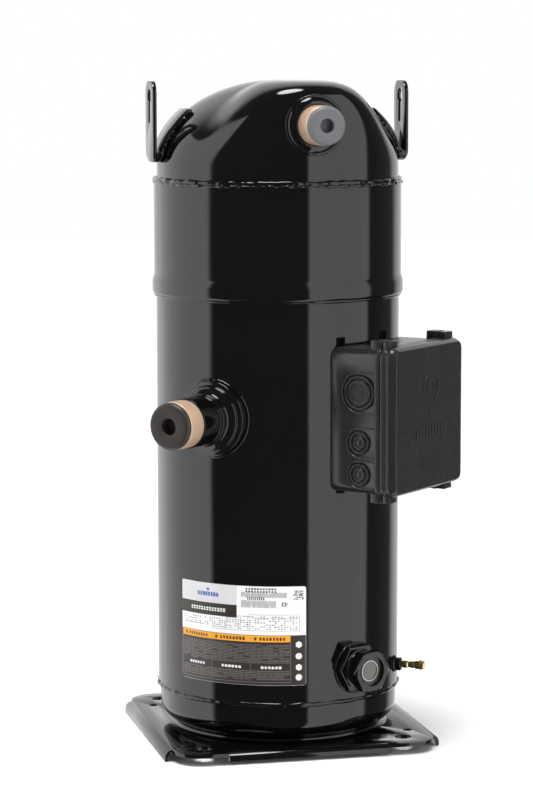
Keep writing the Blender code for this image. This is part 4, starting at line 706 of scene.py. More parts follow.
def make_lugs(shell):
    """Upright plates with a keyhole, each on a foot that follows the dome."""
    face, back = shell.cap_radius + 0.0055, shell.cap_radius + 0.0092
    top, tip = reach("lifting_lug_right", 2), start("lifting_lug_right", 2)
    half = reach("lifting_lug_right", 1)
    under = dome_line(shell, shell.cap_radius * 0.985, 0.092, 0.0006, 14)
    over = [p for p in dome_line(shell, 0.092, shell.cap_radius * 0.985, 0.0038, 14) if p[0] < face - 0.003]
    knee = soften([over[-1], (face, over[-1][1] - 0.0030), (face, top)], 0.005, False, 6)
    outline = [(shell.cap_radius + 0.0008, tip), (back - 0.0015, tip), (back, tip + 0.007), (back, top)]
    outline += knee[::-1][:-1] + over[::-1] + under[::-1]
    upright = Matrix.Rotation(math.pi / 2.0, 4, "X")
    sideways = Matrix.Rotation(math.pi / 2.0, 4, "Y") @ Matrix.Rotation(math.pi / 2.0, 4, "Z")
    eye = top - 0.0155
    keyhole = arc((0.0, eye), 0.0075, -59.5, 239.5, 36)
    keyhole += [(-0.0038, eye - 0.0240), (-0.0030, eye - 0.0258), (0.0030, eye - 0.0258),
                (0.0038, eye - 0.0240)]
    shield = rounded_rectangle(2.0 * half - 0.001, top - tip - 0.0005, 0.013, 10, (0.0, (top + tip) / 2.0))
    edge = dome_line(shell, 0.0915, 0.1195, 0.0012, 20)
    end_radius, end_height = dome_line(shell, 0.0915, 0.0915, 0.001, 1)[0]
    for name, turn in (("right", 0.0), ("left", 180.0)):
        body = prism("lug", outline, -half, half, upright)
        body = carved(body, ("INTERSECT", prism("shield", shield, 0.0, back + 0.02, sideways)),
                      ("DIFFERENCE", prism("keyhole", keyhole, face - 0.002, back + 0.02, sideways)))
        body = beveled(body, 0.0007, 2)
        weld = []
        for side in (-1, 1):
            path = [Vector((radius, side * (half - 0.0006), height - 0.0026)) for radius, height in edge]
            weld.append(bead(path, 0.0012, 0.0011, 260.0, 11.0 + side, False))
        end = [Vector((end_radius, step * (half - 0.001) / 6.0, end_height)) for step in range(-6, 7)]
        weld.append(bead(end, 0.0011, 0.0009, 260.0, 14.0, False))
        mesh = joined("lug", [body, *weld])
        mesh.transform(around(turn))
        place_piece(f"lug_{name}", mesh, enamel(), "casing", "gloss_black_paint", f"lifting_lug_{name}")


# ---- ports ------------------------------------------------------------------------------
def stopper(name, radius, head, low, rim, high, hole, place, node, finish):
    """A stopper whose body sits in a tube and whose chamfered head covers the tube's rim."""
    profile = [(hole, high - 0.010), (hole, high, 0.0010), (head - 0.0024, high, 0.0012),
               (head, high - 0.0029, 0.0012), (head, rim + GAP, 0.0006), (radius, rim + GAP),
               (radius, low, 0.001)]
    mesh = lathe(name, soften(profile, 0.0002, False), False, 72, place)
    place_piece(name, mesh, finish, name, "black_rubber", node)


def copper_stub(name, outer, inner, back, back_round, end, azimuth, sides, place, node):
    """A copper tube from back to end whose mouth is a little drawn in."""
    profile = [(outer - 0.0002, end, 0.0010), (outer, end - 0.004, 0.001), (outer, back, back_round),
               (inner, back), (inner, end, 0.0005)]
    stub = lathe(name, soften(profile, 0.0003, True, 4), True, sides, place)
    place_piece(name, stub, brushed_copper(azimuth), "casing", "copper", node, angle=50.0)


def make_suction(shell, port):
    """The saddle with its double rolled ring, the steel neck, the copper stub and its stopper."""
    place = radial(SUCTION_AZIMUTH, port.suction_height)
    seat = shell.radius
    flange, neck = port.suction_flange, port.suction_neck
    neck_end = seat + 0.0495
    tube = port.suction_tube - COPPER_WALLS[0]
    profile = [(tube, neck_end), (neck, neck_end, 0.0006), (neck, seat + 0.0218, 0.0008),
               (neck + 0.0022, seat + 0.0212, 0.0010), (neck + 0.0024, seat + 0.0160, 0.0014),
               (neck + 0.0006, seat + 0.0146, 0.0012), (neck + 0.0012, seat + 0.0118, 0.003),
               (flange * 0.80, seat + 0.0092, 0.0024), (flange * 0.868, seat + 0.0084, 0.0014),
               (flange * 0.872, seat + 0.0054, 0.0008), (flange * 0.93, seat + 0.0046, 0.0012),
               (flange, seat + 0.0040, 0.0018), (flange, seat - 0.011), (tube, seat - 0.011)]
    saddle = lathe("suction_saddle", soften(profile, 0.0004, True, 5), True, 120, place)
    place_piece("suction_saddle", saddle, enamel(), "casing", "gloss_black_paint", "suction_fitting",
                angle=50.0)
    end, outer = seat + port.suction_reach, port.suction_tube
    copper_stub("suction_stub", outer, tube, neck_end + GAP, 0.0008, end, SUCTION_AZIMUTH, 120, place,
                "suction_tube")
    stopper("suction_stopper", tube - GAP, outer - 0.0002, end - 0.016, end, end + 0.0055, 0.0080, place,
            "suction_plug", stopper_rubber(colours().rubber, "black"))


def make_discharge(shell, port):
    """The collar on the boss, the copper stub and its stopper."""
    place = radial(DISCHARGE_AZIMUTH, port.discharge_height)
    seat, collar = shell.cap_radius, port.discharge_collar
    outer = port.discharge_tube
    tube = outer - COPPER_WALLS[1]
    profile = [(outer + GAP, seat + 0.0052, 0.0004), (outer + 0.0022, seat + 0.0056, 0.0014),
               (collar - 0.0040, seat + 0.0046, 0.003), (collar - 0.0004, seat + 0.0016, 0.002),
               (collar, seat - 0.0060), (outer + GAP, seat - 0.0060)]
    ring_mesh = lathe("discharge_collar", soften(profile, 0.0004, True, 5), True, 110, place)
    place_piece("discharge_collar", ring_mesh, enamel(), "casing", "gloss_black_paint", "discharge_fitting",
                angle=50.0)
    end = seat + port.discharge_reach
    copper_stub("discharge_stub", outer, tube, seat - 0.010, 0.0003, end, DISCHARGE_AZIMUTH, 110, place,
                "discharge_tube")
    stopper("discharge_stopper", tube - GAP, outer - 0.0002, end - 0.016, end, end + 0.0062, 0.0068, place,
            "discharge_plug", stopper_rubber(colours().grey_rubber, "grey"))


# ---- mounting plate ---------------------------------------------------------------------
def fold_line(half_span, drop, plate):
    """Points of the folded sheet's section, from its flat over the bend and back."""
    middle = (half_span - plate.fold, plate.thickness - plate.fold)
    return (arc(middle, plate.fold, 90.0, 0.0, 8) + [(half_span, -drop), (half_span - plate.thickness, -drop)]
            + arc(middle, plate.fold - plate.thickness, 0.0, 90.0, 6))


def make_plate(plate, shell):
    """The pressed plate: rounded flat, folded edges, raised seat for the bowl, eight holes."""
    upright = Matrix.Rotation(math.pi / 2.0, 4, "X")
    right = fold_line(plate.width / 2.0, plate.side_drop, plate)
    section = right + [(-x, z) for x, z in reversed(right)]
    side, end = plate.width / 2.0, plate.depth / 2.0
    flat, notch, half_lip = side - plate.fold + 0.0007, end - plate.fold + 0.001, plate.end_length / 2.0
    corner = arc((flat - plate.corner, end - plate.corner), plate.corner, 0.0, 90.0, 12)
    quarter = [(side + 0.01, end - plate.corner)] + corner + [(half_lip, end), (half_lip, notch)]
    half = quarter + [(-x, y) for x, y in reversed(quarter)]
    steps = [("INTERSECT", prism("plan", half + [(-x, -y) for x, y in half], -0.03, 0.03))]
    tongue = end - plate.fold - 0.004
    for turn in (90.0, 270.0):
        lip = [(tongue, plate.thickness - 0.0005), *fold_line(end, plate.end_drop, plate), (tongue, 0.0005)]
        steps.append(("UNION", prism("lip", lip, -half_lip + 0.0005, half_lip - 0.0005,
                                     around(turn) @ upright)))
    for sx in (-1, 1):
        for sy in (-1, 1):
            for spread, radius in ((HOLE_SPREAD, plate.hole), (PILOT_SPREAD, plate.pilot)):
                hole = ring(radius, 36, (sx * spread[0], sy * spread[1]))
                steps.append(("DIFFERENCE", prism("hole", hole, -0.02, 0.02)))
    sheet = carved(prism("plate", section, -plate.depth, plate.depth, upright), *steps)
    sheet = beveled(sheet, 0.0006, 2)
    top = plate.thickness + plate.pad_height
    foot = plate.thickness - 0.0006
    slope = soften([(plate.pad - 0.006, top), (plate.pad, top, 0.0022),
                    (plate.pad + 0.0016, plate.thickness + 0.0010, 0.0012), (plate.pad + 0.0060, foot)],
                   0.001, False, 5)
    seat = lathe("seat", [(0.004, top), *slope, (0.004, foot)], False, shell.sides)
    mesh = joined("mount_plate", [sheet, seat])
    place_piece("mount_plate", mesh, enamel(), "casing", "gloss_black_paint", "base_plate")


# ---- terminal box -----------------------------------------------------------------------
def stacked_solid(box, rows):
    """A loft of rounded rectangles that is capped at both ends, from (inset, distance) rows."""
    centre = (0.0, box.bottom + box.height / 2.0)
    loops = []
    for inset, distance in soften(rows, 0.0006, False, 3):
        outline = rounded_rectangle(box.width - 2.0 * inset, box.height - 2.0 * inset, box.corner - inset, 7,
                                    centre)
        loops.append([Vector((x, y, distance)) for x, y in outline])
    return skin("solid", loops, False)


def core_of(name, box, low, high):
    """The space inside the box's walls between two distances from the axis."""
    outline = rounded_rectangle(box.width - 2.0 * box.wall, box.height - 2.0 * box.wall,
                                box.corner - box.wall, 7, (0.0, box.bottom + box.height / 2.0))
    return prism(name, outline, low, high)


def copies_tree():
    """Copies a small piece to every point of a mesh."""
    found = bpy.data.node_groups.get("copies_at_points")
    if found:
        return found
    tree = bpy.data.node_groups.new("copies_at_points", "GeometryNodeTree")
    given = group_inputs(tree, ("Points", "Geometry", None), ("Piece", "Object", None),
                         ("Size", "Float", 1.0), ("Finish", "Material", None))
    piece = add_node(tree, "GeometryNodeObjectInfo", Object=given["Piece"]).outputs["Geometry"]
    turn = add_node(tree, "GeometryNodeInputNamedAttribute", {"data_type": "FLOAT_VECTOR"},
                    Name="turn").outputs[0]
    copies = add_node(tree, "GeometryNodeInstanceOnPoints", Points=given["Points"], Instance=piece,
                      Rotation=turn, Scale=given["Size"]).outputs[0]
    close_tree(tree, copies, given["Finish"])
    return tree


def copies(mesh, spots, finish):
    """One mesh with a copy of a piece at each (place, turn) spot."""
    piece = linked("copied_piece", mesh)
    points = bpy.data.meshes.new("points")
    points.from_pydata([tuple(spot) for spot, _ in spots], [], [])
    turns = points.attributes.new("turn", "FLOAT_VECTOR", "POINT")
    for index, (_, turn) in enumerate(spots):
        turns.data[index].vector = turn
    made = grown("copies", points, copies_tree(), {"Piece": piece, "Finish": finish})
    bpy.data.objects.remove(piece)
    return made


def latch_spots(box, distance):
    """Places and turns of the four latches along the top and bottom of the rim."""
    spots = []
    for side in (-1, 1):
        for end in (-1, 1):
            x = side * (box.width / 2.0 - 0.0115)
            y = box.bottom + box.height / 2.0 + end * box.height / 2.0
            spots.append((Vector((x, y, distance)), (0.0, 0.0, 0.0 if end > 0 else math.pi)))
    return spots


def make_box(shell, box):
    """The box's body with its rim band, its cable entries with their knockouts, and its latches."""
    place = radial(BOX_AZIMUTH, 0.0)
    rim, band = box.rim, box.band
    under, over = box.bottom - 0.02, box.bottom + box.height + 0.02
    middle = (shell.radius + rim) / 2.0 - 0.0055
    # height, knockout radius, half of the channel's width
    entries = ((box.bottom + 0.098, 0.0165, 0.0195), (box.bottom + 0.0495, 0.0108, 0.0142),
               (box.bottom + 0.0185, 0.0108, 0.0132))
    saddle = prism("saddle", ring(shell.radius + 0.0006, 180), under, over, place.inverted())
    hollow = prism("hollow", ring(shell.radius + 0.0036, 180), under, over, place.inverted())
    inside = carved(core_of("core", box, box.back - 0.01, rim + 0.01), ("DIFFERENCE", hollow))
    solid = stacked_solid(box, [(0.0, box.back), (0.0, rim - 0.0062), (-band, rim - 0.0056),
                                (-band, rim - 0.0006), (-0.0004, rim)])
    face, channel_end, border_end = -box.width / 2.0, rim - 0.0068, rim - 0.0066
    channels, borders, knockouts = [], [], []
    for height, radius, half_width in entries:
        curve = [(middle + x, height + y) for x, y in arc((0.0, 0.0), half_width, 90.0, 270.0, 24)]
        plan = curve + [(channel_end, height - half_width), (channel_end, height + half_width)]
        loops = [[Vector((x, y, z)) for z, y in plan] for x in (face - 0.002, face + 0.0014)]
        channels.append(skin("channel", loops, False))
        border = [(border_end, height + half_width), *curve, (border_end, height - half_width)]
        borders.append(moulding([Vector((face - 0.0001, y, z)) for z, y in border], 0.0009))
        spot = Matrix.Translation((face + 0.0009, height, middle)) @ Matrix.Rotation(-math.pi / 2.0, 4, "Y")
        profile = [(0.0005, -0.0012), (radius, -0.0012), (radius, 0.0016, 0.0007),
                   (radius - 0.0022, 0.0016, 0.0007), (radius - 0.0026, -0.0002, 0.0003),
                   (radius - 0.0038, -0.0002, 0.0003), (radius - 0.0042, 0.0020, 0.0010),
                   (radius - 0.0066, 0.0018, 0.0010), (radius - 0.0074, 0.0010, 0.0004), (0.0005, 0.0014)]
        knockouts.append(lathe("knockout", soften(profile, 0.0003, False, 3), False, 56, spot))
    lead_hole = prism("lead_hole", ring(0.033, 64, (0.0, 0.338)), box.back, shell.radius + 0.02)
    steps = [("DIFFERENCE", tool) for tool in (saddle, *channels, inside, lead_hole)]
    housing = beveled(carved(solid, *steps), 0.00045, 2, 40.0)
    slot = block("slot", (-0.0030, 0.0030, -0.008), (0.0030, 0.0072, 0.008), None, 0.0004)
    latch = block("latch", (-0.0075, -0.001, -0.0065), (0.0075, 0.0088, 0.0060), None, 0.0009)
    latches = copies(carved(latch, ("DIFFERENCE", slot)), latch_spots(box, rim - 0.0067), moulded())
    mesh = joined("box_housing", [housing, *knockouts, *borders, latches])
    mesh.transform(place)
    place_piece("box_housing", mesh, moulded(), "casing", "black_plastic", "terminal_box")


def make_cover(box):
    """The cover: a shallow tray with rolled edges, a raised border and a plain raised badge."""
    place = radial(BOX_AZIMUTH, 0.0)
    low, high, band = box.rim + GAP, box.rim + box.cover, box.band
    rows = [(-0.0004, low), (-band, low + 0.0006), (-band, low + 0.0048), (-band + 0.0012, low + 0.0054),
            (-band + 0.0012, low + 0.0066), (-band, low + 0.0074), (-band, low + 0.0108),
            (-band + 0.0008, low + 0.0130), (-band + 0.0034, high), (0.0060, high)]
    tray = stacked_solid(box, rows)
    tray = carved(tray, ("DIFFERENCE", core_of("hollow", box, low - 0.01, high - box.wall)))
    badge = []
    spot = Matrix.Translation((0.003, box.bottom + 0.099, high - 0.0004))
    for outer, inner, sides in ((0.0150, 0.0132, 56), (0.0085, 0.0066, 40)):
        profile = soften([(outer, 0.0), (outer, 0.0012), (inner, 0.0012), (inner, 0.0)], 0.0004, True, 3)
        badge.append(lathe("badge", profile, True, sides, spot))
    button = soften([(0.0034, 0.0), (0.0034, 0.0016), (0.0005, 0.0016)], 0.0007, False, 4)
    spot = Matrix.Translation((0.003, box.bottom + 0.073, high - 0.0006))
    badge.append(lathe("button", button, False, 32, spot))
    bar = block("bar", (-0.0018, -0.0062, -0.0004), (0.0018, 0.0062, 0.0008), None, 0.0004)
    spots = [(Vector((x * 0.0062, box.bottom + 0.0555, high)), (0.0, 0.0, 0.0)) for x in range(-4, 6)]
    bars = copies(bar, spots, moulded())
    latch = block("ear", (-0.0075, -0.001, -0.0040), (0.0075, 0.0084, 0.0040), None, 0.0009)
    ears = copies(latch, latch_spots(box, low + 0.0043), moulded())
    mesh = joined("box_cover", [tray, *badge, bars, ears])
    mesh.transform(place)
    place_piece("box_cover", mesh, moulded(), "box_lid", "black_plastic", "terminal_cover")


# ---- sight glass and oil valve ----------------------------------------------------------
def hexagon_loops(flats, rows):
    """Hexagons of a size over their flats, from (inset, height) rows."""
    loops = []
    for inset, height in rows:
        corners = ring((flats - 2.0 * inset) / math.sqrt(3.0), 6)
        loops.append([Vector((x, y, height)) for x, y in corners])
    return loops


def make_sight_glass(shell):
    """The weld base, the neck, the hexagon nut and the glass."""
    place = radial(GLASS_AZIMUTH, GLASS_HEIGHT)
    seat = shell.radius
    face = seat + 0.026
    back = face - 0.011
    hexagon = hexagon_loops(0.0445, [(0.0, seat - 0.006), (0.0, seat + 0.0062), (0.0012, seat + 0.0072)])
    base = beveled(skin("base", hexagon, False), 0.0007, 2)
    neck = lathe("neck", soften([(0.0173, back - GAP), (0.0173, seat + 0.0085, 0.0012),
                                 (0.0200, seat + 0.0072, 0.001), (0.0200, seat - 0.004)], 0.0006, False, 4),
                 False, 72)
    mesh = joined("glass_boss", [base, neck])
    mesh.transform(place)
    place_piece("glass_boss", mesh, enamel(), "casing", "gloss_black_paint", "sight_glass_boss")
    flats = 0.0385
    nut = skin("nut", hexagon_loops(flats, [(0.0, back), (0.0, face)]), False)
    chamfer = lathe("chamfer", [(0.0198, back - 0.001), (0.0225, back + 0.0016), (0.0225, face - 0.0018),
                                (0.0196, face + 0.0001)], False, 72)
    recess = lathe("recess", soften([(0.0145, face + 0.001), (0.0145, face - 0.0042, 0.0006),
                                     (0.0104, face - 0.0042), (0.0104, back - 0.001)], 0.0003, False, 3),
                   False, 72)
    nut = beveled(carved(nut, ("INTERSECT", chamfer), ("DIFFERENCE", recess)), 0.0005, 2)
    nut.transform(place)
    place_piece("glass_nut", nut, enamel(), "casing", "gloss_black_paint", "sight_glass_nut")
    lens = lathe("lens", soften([(0.0002, face - 0.0046), (0.0094, face - 0.0050, 0.001),
                                 (0.0100, face - 0.0060, 0.0004), (0.0100, back + 0.001)], 0.0003, False, 4),
                 False, 64, place)
    place_piece("glass_lens", lens, surface("oiled_glass", (0.085, 0.078, 0.066), 0.07, spread=0.25,
                                            patch=90.0, grain=260.0, depth=0.00001, coat=0.6), "casing",
                "sight_glass", "sight_glass_lens")
    rim = lathe("rim", soften([(0.0103, face - 0.0043), (0.0103, face - 0.0052), (0.0096, face - 0.0052),
                               (0.0096, face - 0.0043)], 0.0002, True, 3), True, 64, place)
    place_piece("glass_rim", rim, surface("bright_rim", (0.72, 0.72, 0.70), 0.2, 1.0), "casing",
                "machined_steel")


def knurl_tree():
    """Fine ribs round an axis."""
    found = bpy.data.node_groups.get("knurl")
    if found:
        return found
    tree = bpy.data.node_groups.new("knurl", "GeometryNodeTree")
    given = group_inputs(tree, ("Body", "Geometry", None), ("Ribs", "Int", 26),
                         ("Radius", "Float", 0.0047), ("Rib width", "Float", 0.0006),
                         ("Rib length", "Float", 0.006), ("Height", "Float", 0.0),
                         ("Finish", "Material", None))
    hoop = add_node(tree, "GeometryNodeCurvePrimitiveCircle", Resolution=given["Ribs"],
                    Radius=given["Radius"]).outputs[0]
    lift = add_node(tree, "ShaderNodeCombineXYZ", Z=given["Height"]).outputs[0]
    hoop = add_node(tree, "GeometryNodeSetPosition", Geometry=hoop, Offset=lift).outputs[0]
    size = add_node(tree, "ShaderNodeCombineXYZ", X=given["Rib width"], Y=given["Rib width"],
                    Z=given["Rib length"]).outputs[0]
    rib = add_node(tree, "GeometryNodeMeshCube", Size=size).outputs[0]
    points = add_node(tree, "GeometryNodeCurveToPoints", {"mode": "EVALUATED"}, Curve=hoop)
    ribs = add_node(tree, "GeometryNodeInstanceOnPoints", Points=points.outputs[0], Instance=rib,
                    Rotation=points.outputs[3]).outputs[0]
    both = tree.nodes.new("GeometryNodeJoinGeometry")
    tree.links.new(ribs, both.inputs[0])
    tree.links.new(given["Body"], both.inputs[0])
    close_tree(tree, both.outputs[0], given["Finish"])
    return tree


def make_oil_valve(shell):
    """The black weld base, the brass body with its rings and the ribbed brass cap."""
    place = radial(VALVE_AZIMUTH, VALVE_HEIGHT)
    seat = shell.radius
    base_end = seat + 0.0075
    base = skin("base", hexagon_loops(0.0125, [(0.0, seat - 0.003), (0.0, base_end - 0.0006),
                                               (0.0010, base_end)]), False)
    collar = lathe("collar", soften([(0.0086, seat - 0.004), (0.0086, seat + 0.0012, 0.001),
                                     (0.0060, seat + 0.0022, 0.001)], 0.0005, False, 3), False, 40)
    mesh = joined("valve_base", [beveled(base, 0.0004, 2), collar])
    mesh.transform(place)
    place_piece("valve_base", mesh, enamel(), "casing", "gloss_black_paint", "oil_valve_base")
    body_end = seat + 0.0215
    profile = [(0.0015, body_end), (0.0036, body_end, 0.0003), (0.0036, base_end + 0.0098, 0.0003),
               (0.0030, base_end + 0.0088, 0.0003), (0.0030, base_end + 0.0070, 0.0003),
               (0.0038, base_end + 0.0060, 0.0004), (0.0038, base_end + 0.0022, 0.0004),
               (0.0031, base_end + 0.0012, 0.0003), (0.0031, base_end + GAP), (0.0015, base_end + GAP)]
    body = lathe("valve_body", soften(profile, 0.0002, True, 3), True, 40, place)
    place_piece("valve_body", body, turned_brass(), "casing", "brass", "oil_valve_body")
    end = seat + 0.031
    profile = [(0.0022, body_end + 0.0036), (0.0022, body_end + GAP, 0.0002),
               (0.0043, body_end + GAP, 0.0005), (0.0046, end - 0.0010, 0.0006), (0.0040, end, 0.0006)]
    cap = lathe("cap", soften(profile, 0.0003, False, 3), False, 40)
    cap = grown("cap", cap, knurl_tree(), {"Ribs": 24, "Radius": 0.0044, "Rib width": 0.0006,
                                           "Rib length": 0.0052, "Height": (body_end + end) / 2.0 + 0.0008,
                                           "Finish": turned_brass()})
    cap.transform(place)
    place_piece("valve_cap", cap, turned_brass(), "valve_cap", "brass", "oil_valve_cap")


# ---- rating label -----------------------------------------------------------------------
def wrapped(radius, first, last, low, high, thick=0.00004):
    """A thin curved patch on the shell between two azimuths and two heights."""
    steps = max(2, int((last - first) / 1.5))
    outline = arc((0.0, 0.0), radius + thick, first - 90.0, last - 90.0, steps)
    outline += arc((0.0, 0.0), radius, last - 90.0, first - 90.0, steps)
    return prism("patch", outline, low, high)


def print_tree():
    """Rows of short bars on a cylinder, as blank lines of print."""
    found = bpy.data.node_groups.get("print_lines")
    if found:
        return found
    tree = bpy.data.node_groups.new("print_lines", "GeometryNodeTree")
    given = group_inputs(tree, ("Body", "Geometry", None), ("Radius", "Float", 0.1222),
                         ("First", "Float", 0.0), ("Width", "Float", 0.02),
                         ("Bottom", "Float", 0.1), ("Height", "Float", 0.02),
                         ("Columns", "Int", 8), ("Rows", "Int", 8),
                         ("Fill across", "Float", 0.8), ("Fill up", "Float", 0.5),
                         ("Blank share", "Float", 0.15), ("Seed", "Int", 1),
                         ("Finish", "Material", None))
    grid = add_node(tree, "GeometryNodeMeshGrid", Size_X=given["Width"], Size_Y=given["Height"],
                    Vertices_X=given["Columns"], Vertices_Y=given["Rows"]).outputs[0]
    pitch = maths(tree, "DIVIDE", given["Width"], maths(tree, "SUBTRACT", given["Columns"], 1.0))
    rise = maths(tree, "DIVIDE", given["Height"], maths(tree, "SUBTRACT", given["Rows"], 1.0))
    size = add_node(tree, "ShaderNodeCombineXYZ", X=maths(tree, "MULTIPLY", pitch, given["Fill across"]),
                    Y=maths(tree, "MULTIPLY", rise, given["Fill up"]), Z=0.00003).outputs[0]
    bar = add_node(tree, "GeometryNodeMeshCube", Size=size, Vertices_X=3).outputs[0]
    keep = add_node(tree, "FunctionNodeRandomValue", {"data_type": "BOOLEAN"}, Seed=given["Seed"])
    tree.links.new(maths(tree, "SUBTRACT", 1.0, given["Blank share"]), keep.inputs["Probability"])
    stretch = add_node(tree, "FunctionNodeRandomValue", {"data_type": "FLOAT"}, i2=0.75, i3=1.15,
                       Seed=given["Seed"]).outputs[1]
    scale = add_node(tree, "ShaderNodeCombineXYZ", X=stretch, Y=1.0, Z=1.0).outputs[0]
    bars = add_node(tree, "GeometryNodeInstanceOnPoints", Points=grid, Instance=bar,
                    Selection=keep.outputs[3], Scale=scale).outputs[0]
    flat = add_node(tree, "GeometryNodeRealizeInstances", Geometry=bars).outputs[0]
    at = add_node(tree, "ShaderNodeSeparateXYZ",
                  Vector=add_node(tree, "GeometryNodeInputPosition").outputs[0])
    arc_length = maths(tree, "ADD",
                       maths(tree, "ADD", at.outputs[0], maths(tree, "MULTIPLY", given["Width"], 0.5)),
                       given["First"])
    angle = maths(tree, "DIVIDE", arc_length, given["Radius"])
    out = maths(tree, "ADD", given["Radius"], at.outputs[2])
    height = maths(tree, "ADD",
                   maths(tree, "ADD", at.outputs[1], maths(tree, "MULTIPLY", given["Height"], 0.5)),
                   given["Bottom"])
    spot = add_node(tree, "ShaderNodeCombineXYZ", X=maths(tree, "MULTIPLY", out, maths(tree, "SINE", angle)),
                    Y=maths(tree, "MULTIPLY", maths(tree, "MULTIPLY", out, maths(tree, "COSINE", angle)),
                            -1.0), Z=height).outputs[0]
    round_bars = add_node(tree, "GeometryNodeSetPosition", Geometry=flat, Position=spot).outputs[0]
    close_tree(tree, round_bars, given["Finish"])
    return tree


def print_rows(radius, first, last, low, high, columns, rows, fill, up, blank, seed):
    """Blank print between two azimuths and two heights."""
    turn = math.radians(1.0) * radius
    return grown("print", bpy.data.meshes.new("empty"), print_tree(),
                 {"Radius": radius, "First": first * turn, "Width": (last - first) * turn, "Bottom": low,
                  "Height": high - low, "Columns": columns, "Rows": rows, "Fill across": fill, "Fill up": up,
                  "Blank share": blank, "Seed": seed})


def ink(name, tone, rough=0.42):
    """A flat printed colour."""
    return surface(f"ink_{name}", tone, rough, spread=0.05, patch=30.0, grain=1500.0, depth=0.000004,
                   rough_spread=0.1)


def make_film(shell, label, face, thick=0.0003):
    """The label's film: a rounded sheet that is bent round the shell."""
    first, last, low, top = label.first, label.last, label.bottom, label.top
    centre = (math.radians((first + last) / 2.0) * face, (low + top) / 2.0)
    points = rounded_rectangle(math.radians(last - first) * face, top - low, 0.0022, 5, centre)
    work = bmesh.new()
    work.faces.new([work.verts.new((x, y, 0.0)) for x, y in points])
    columns = 44
    for column in range(1, columns):
        x = (math.radians(first) + math.radians(last - first) * column / columns) * face
        everything = work.verts[:] + work.edges[:] + work.faces[:]
        bmesh.ops.bisect_plane(work, geom=everything, plane_co=(x, 0, 0), plane_no=(1, 0, 0))
    made = bmesh.ops.extrude_face_region(work, geom=work.faces[:])
    for vert in [item for item in made["geom"] if isinstance(item, bmesh.types.BMVert)]:
        vert.co.z = -thick
    for vert in work.verts:
        angle, out = vert.co.x / face, face + vert.co.z
        vert.co = Vector((out * math.sin(angle), -out * math.cos(angle), vert.co.y))
    white = ink("white", tuple(colours().label), 0.32)
    place_piece("label_film", mesh_of(work, "label_film"), white, "casing", "label_film", "name_plate")


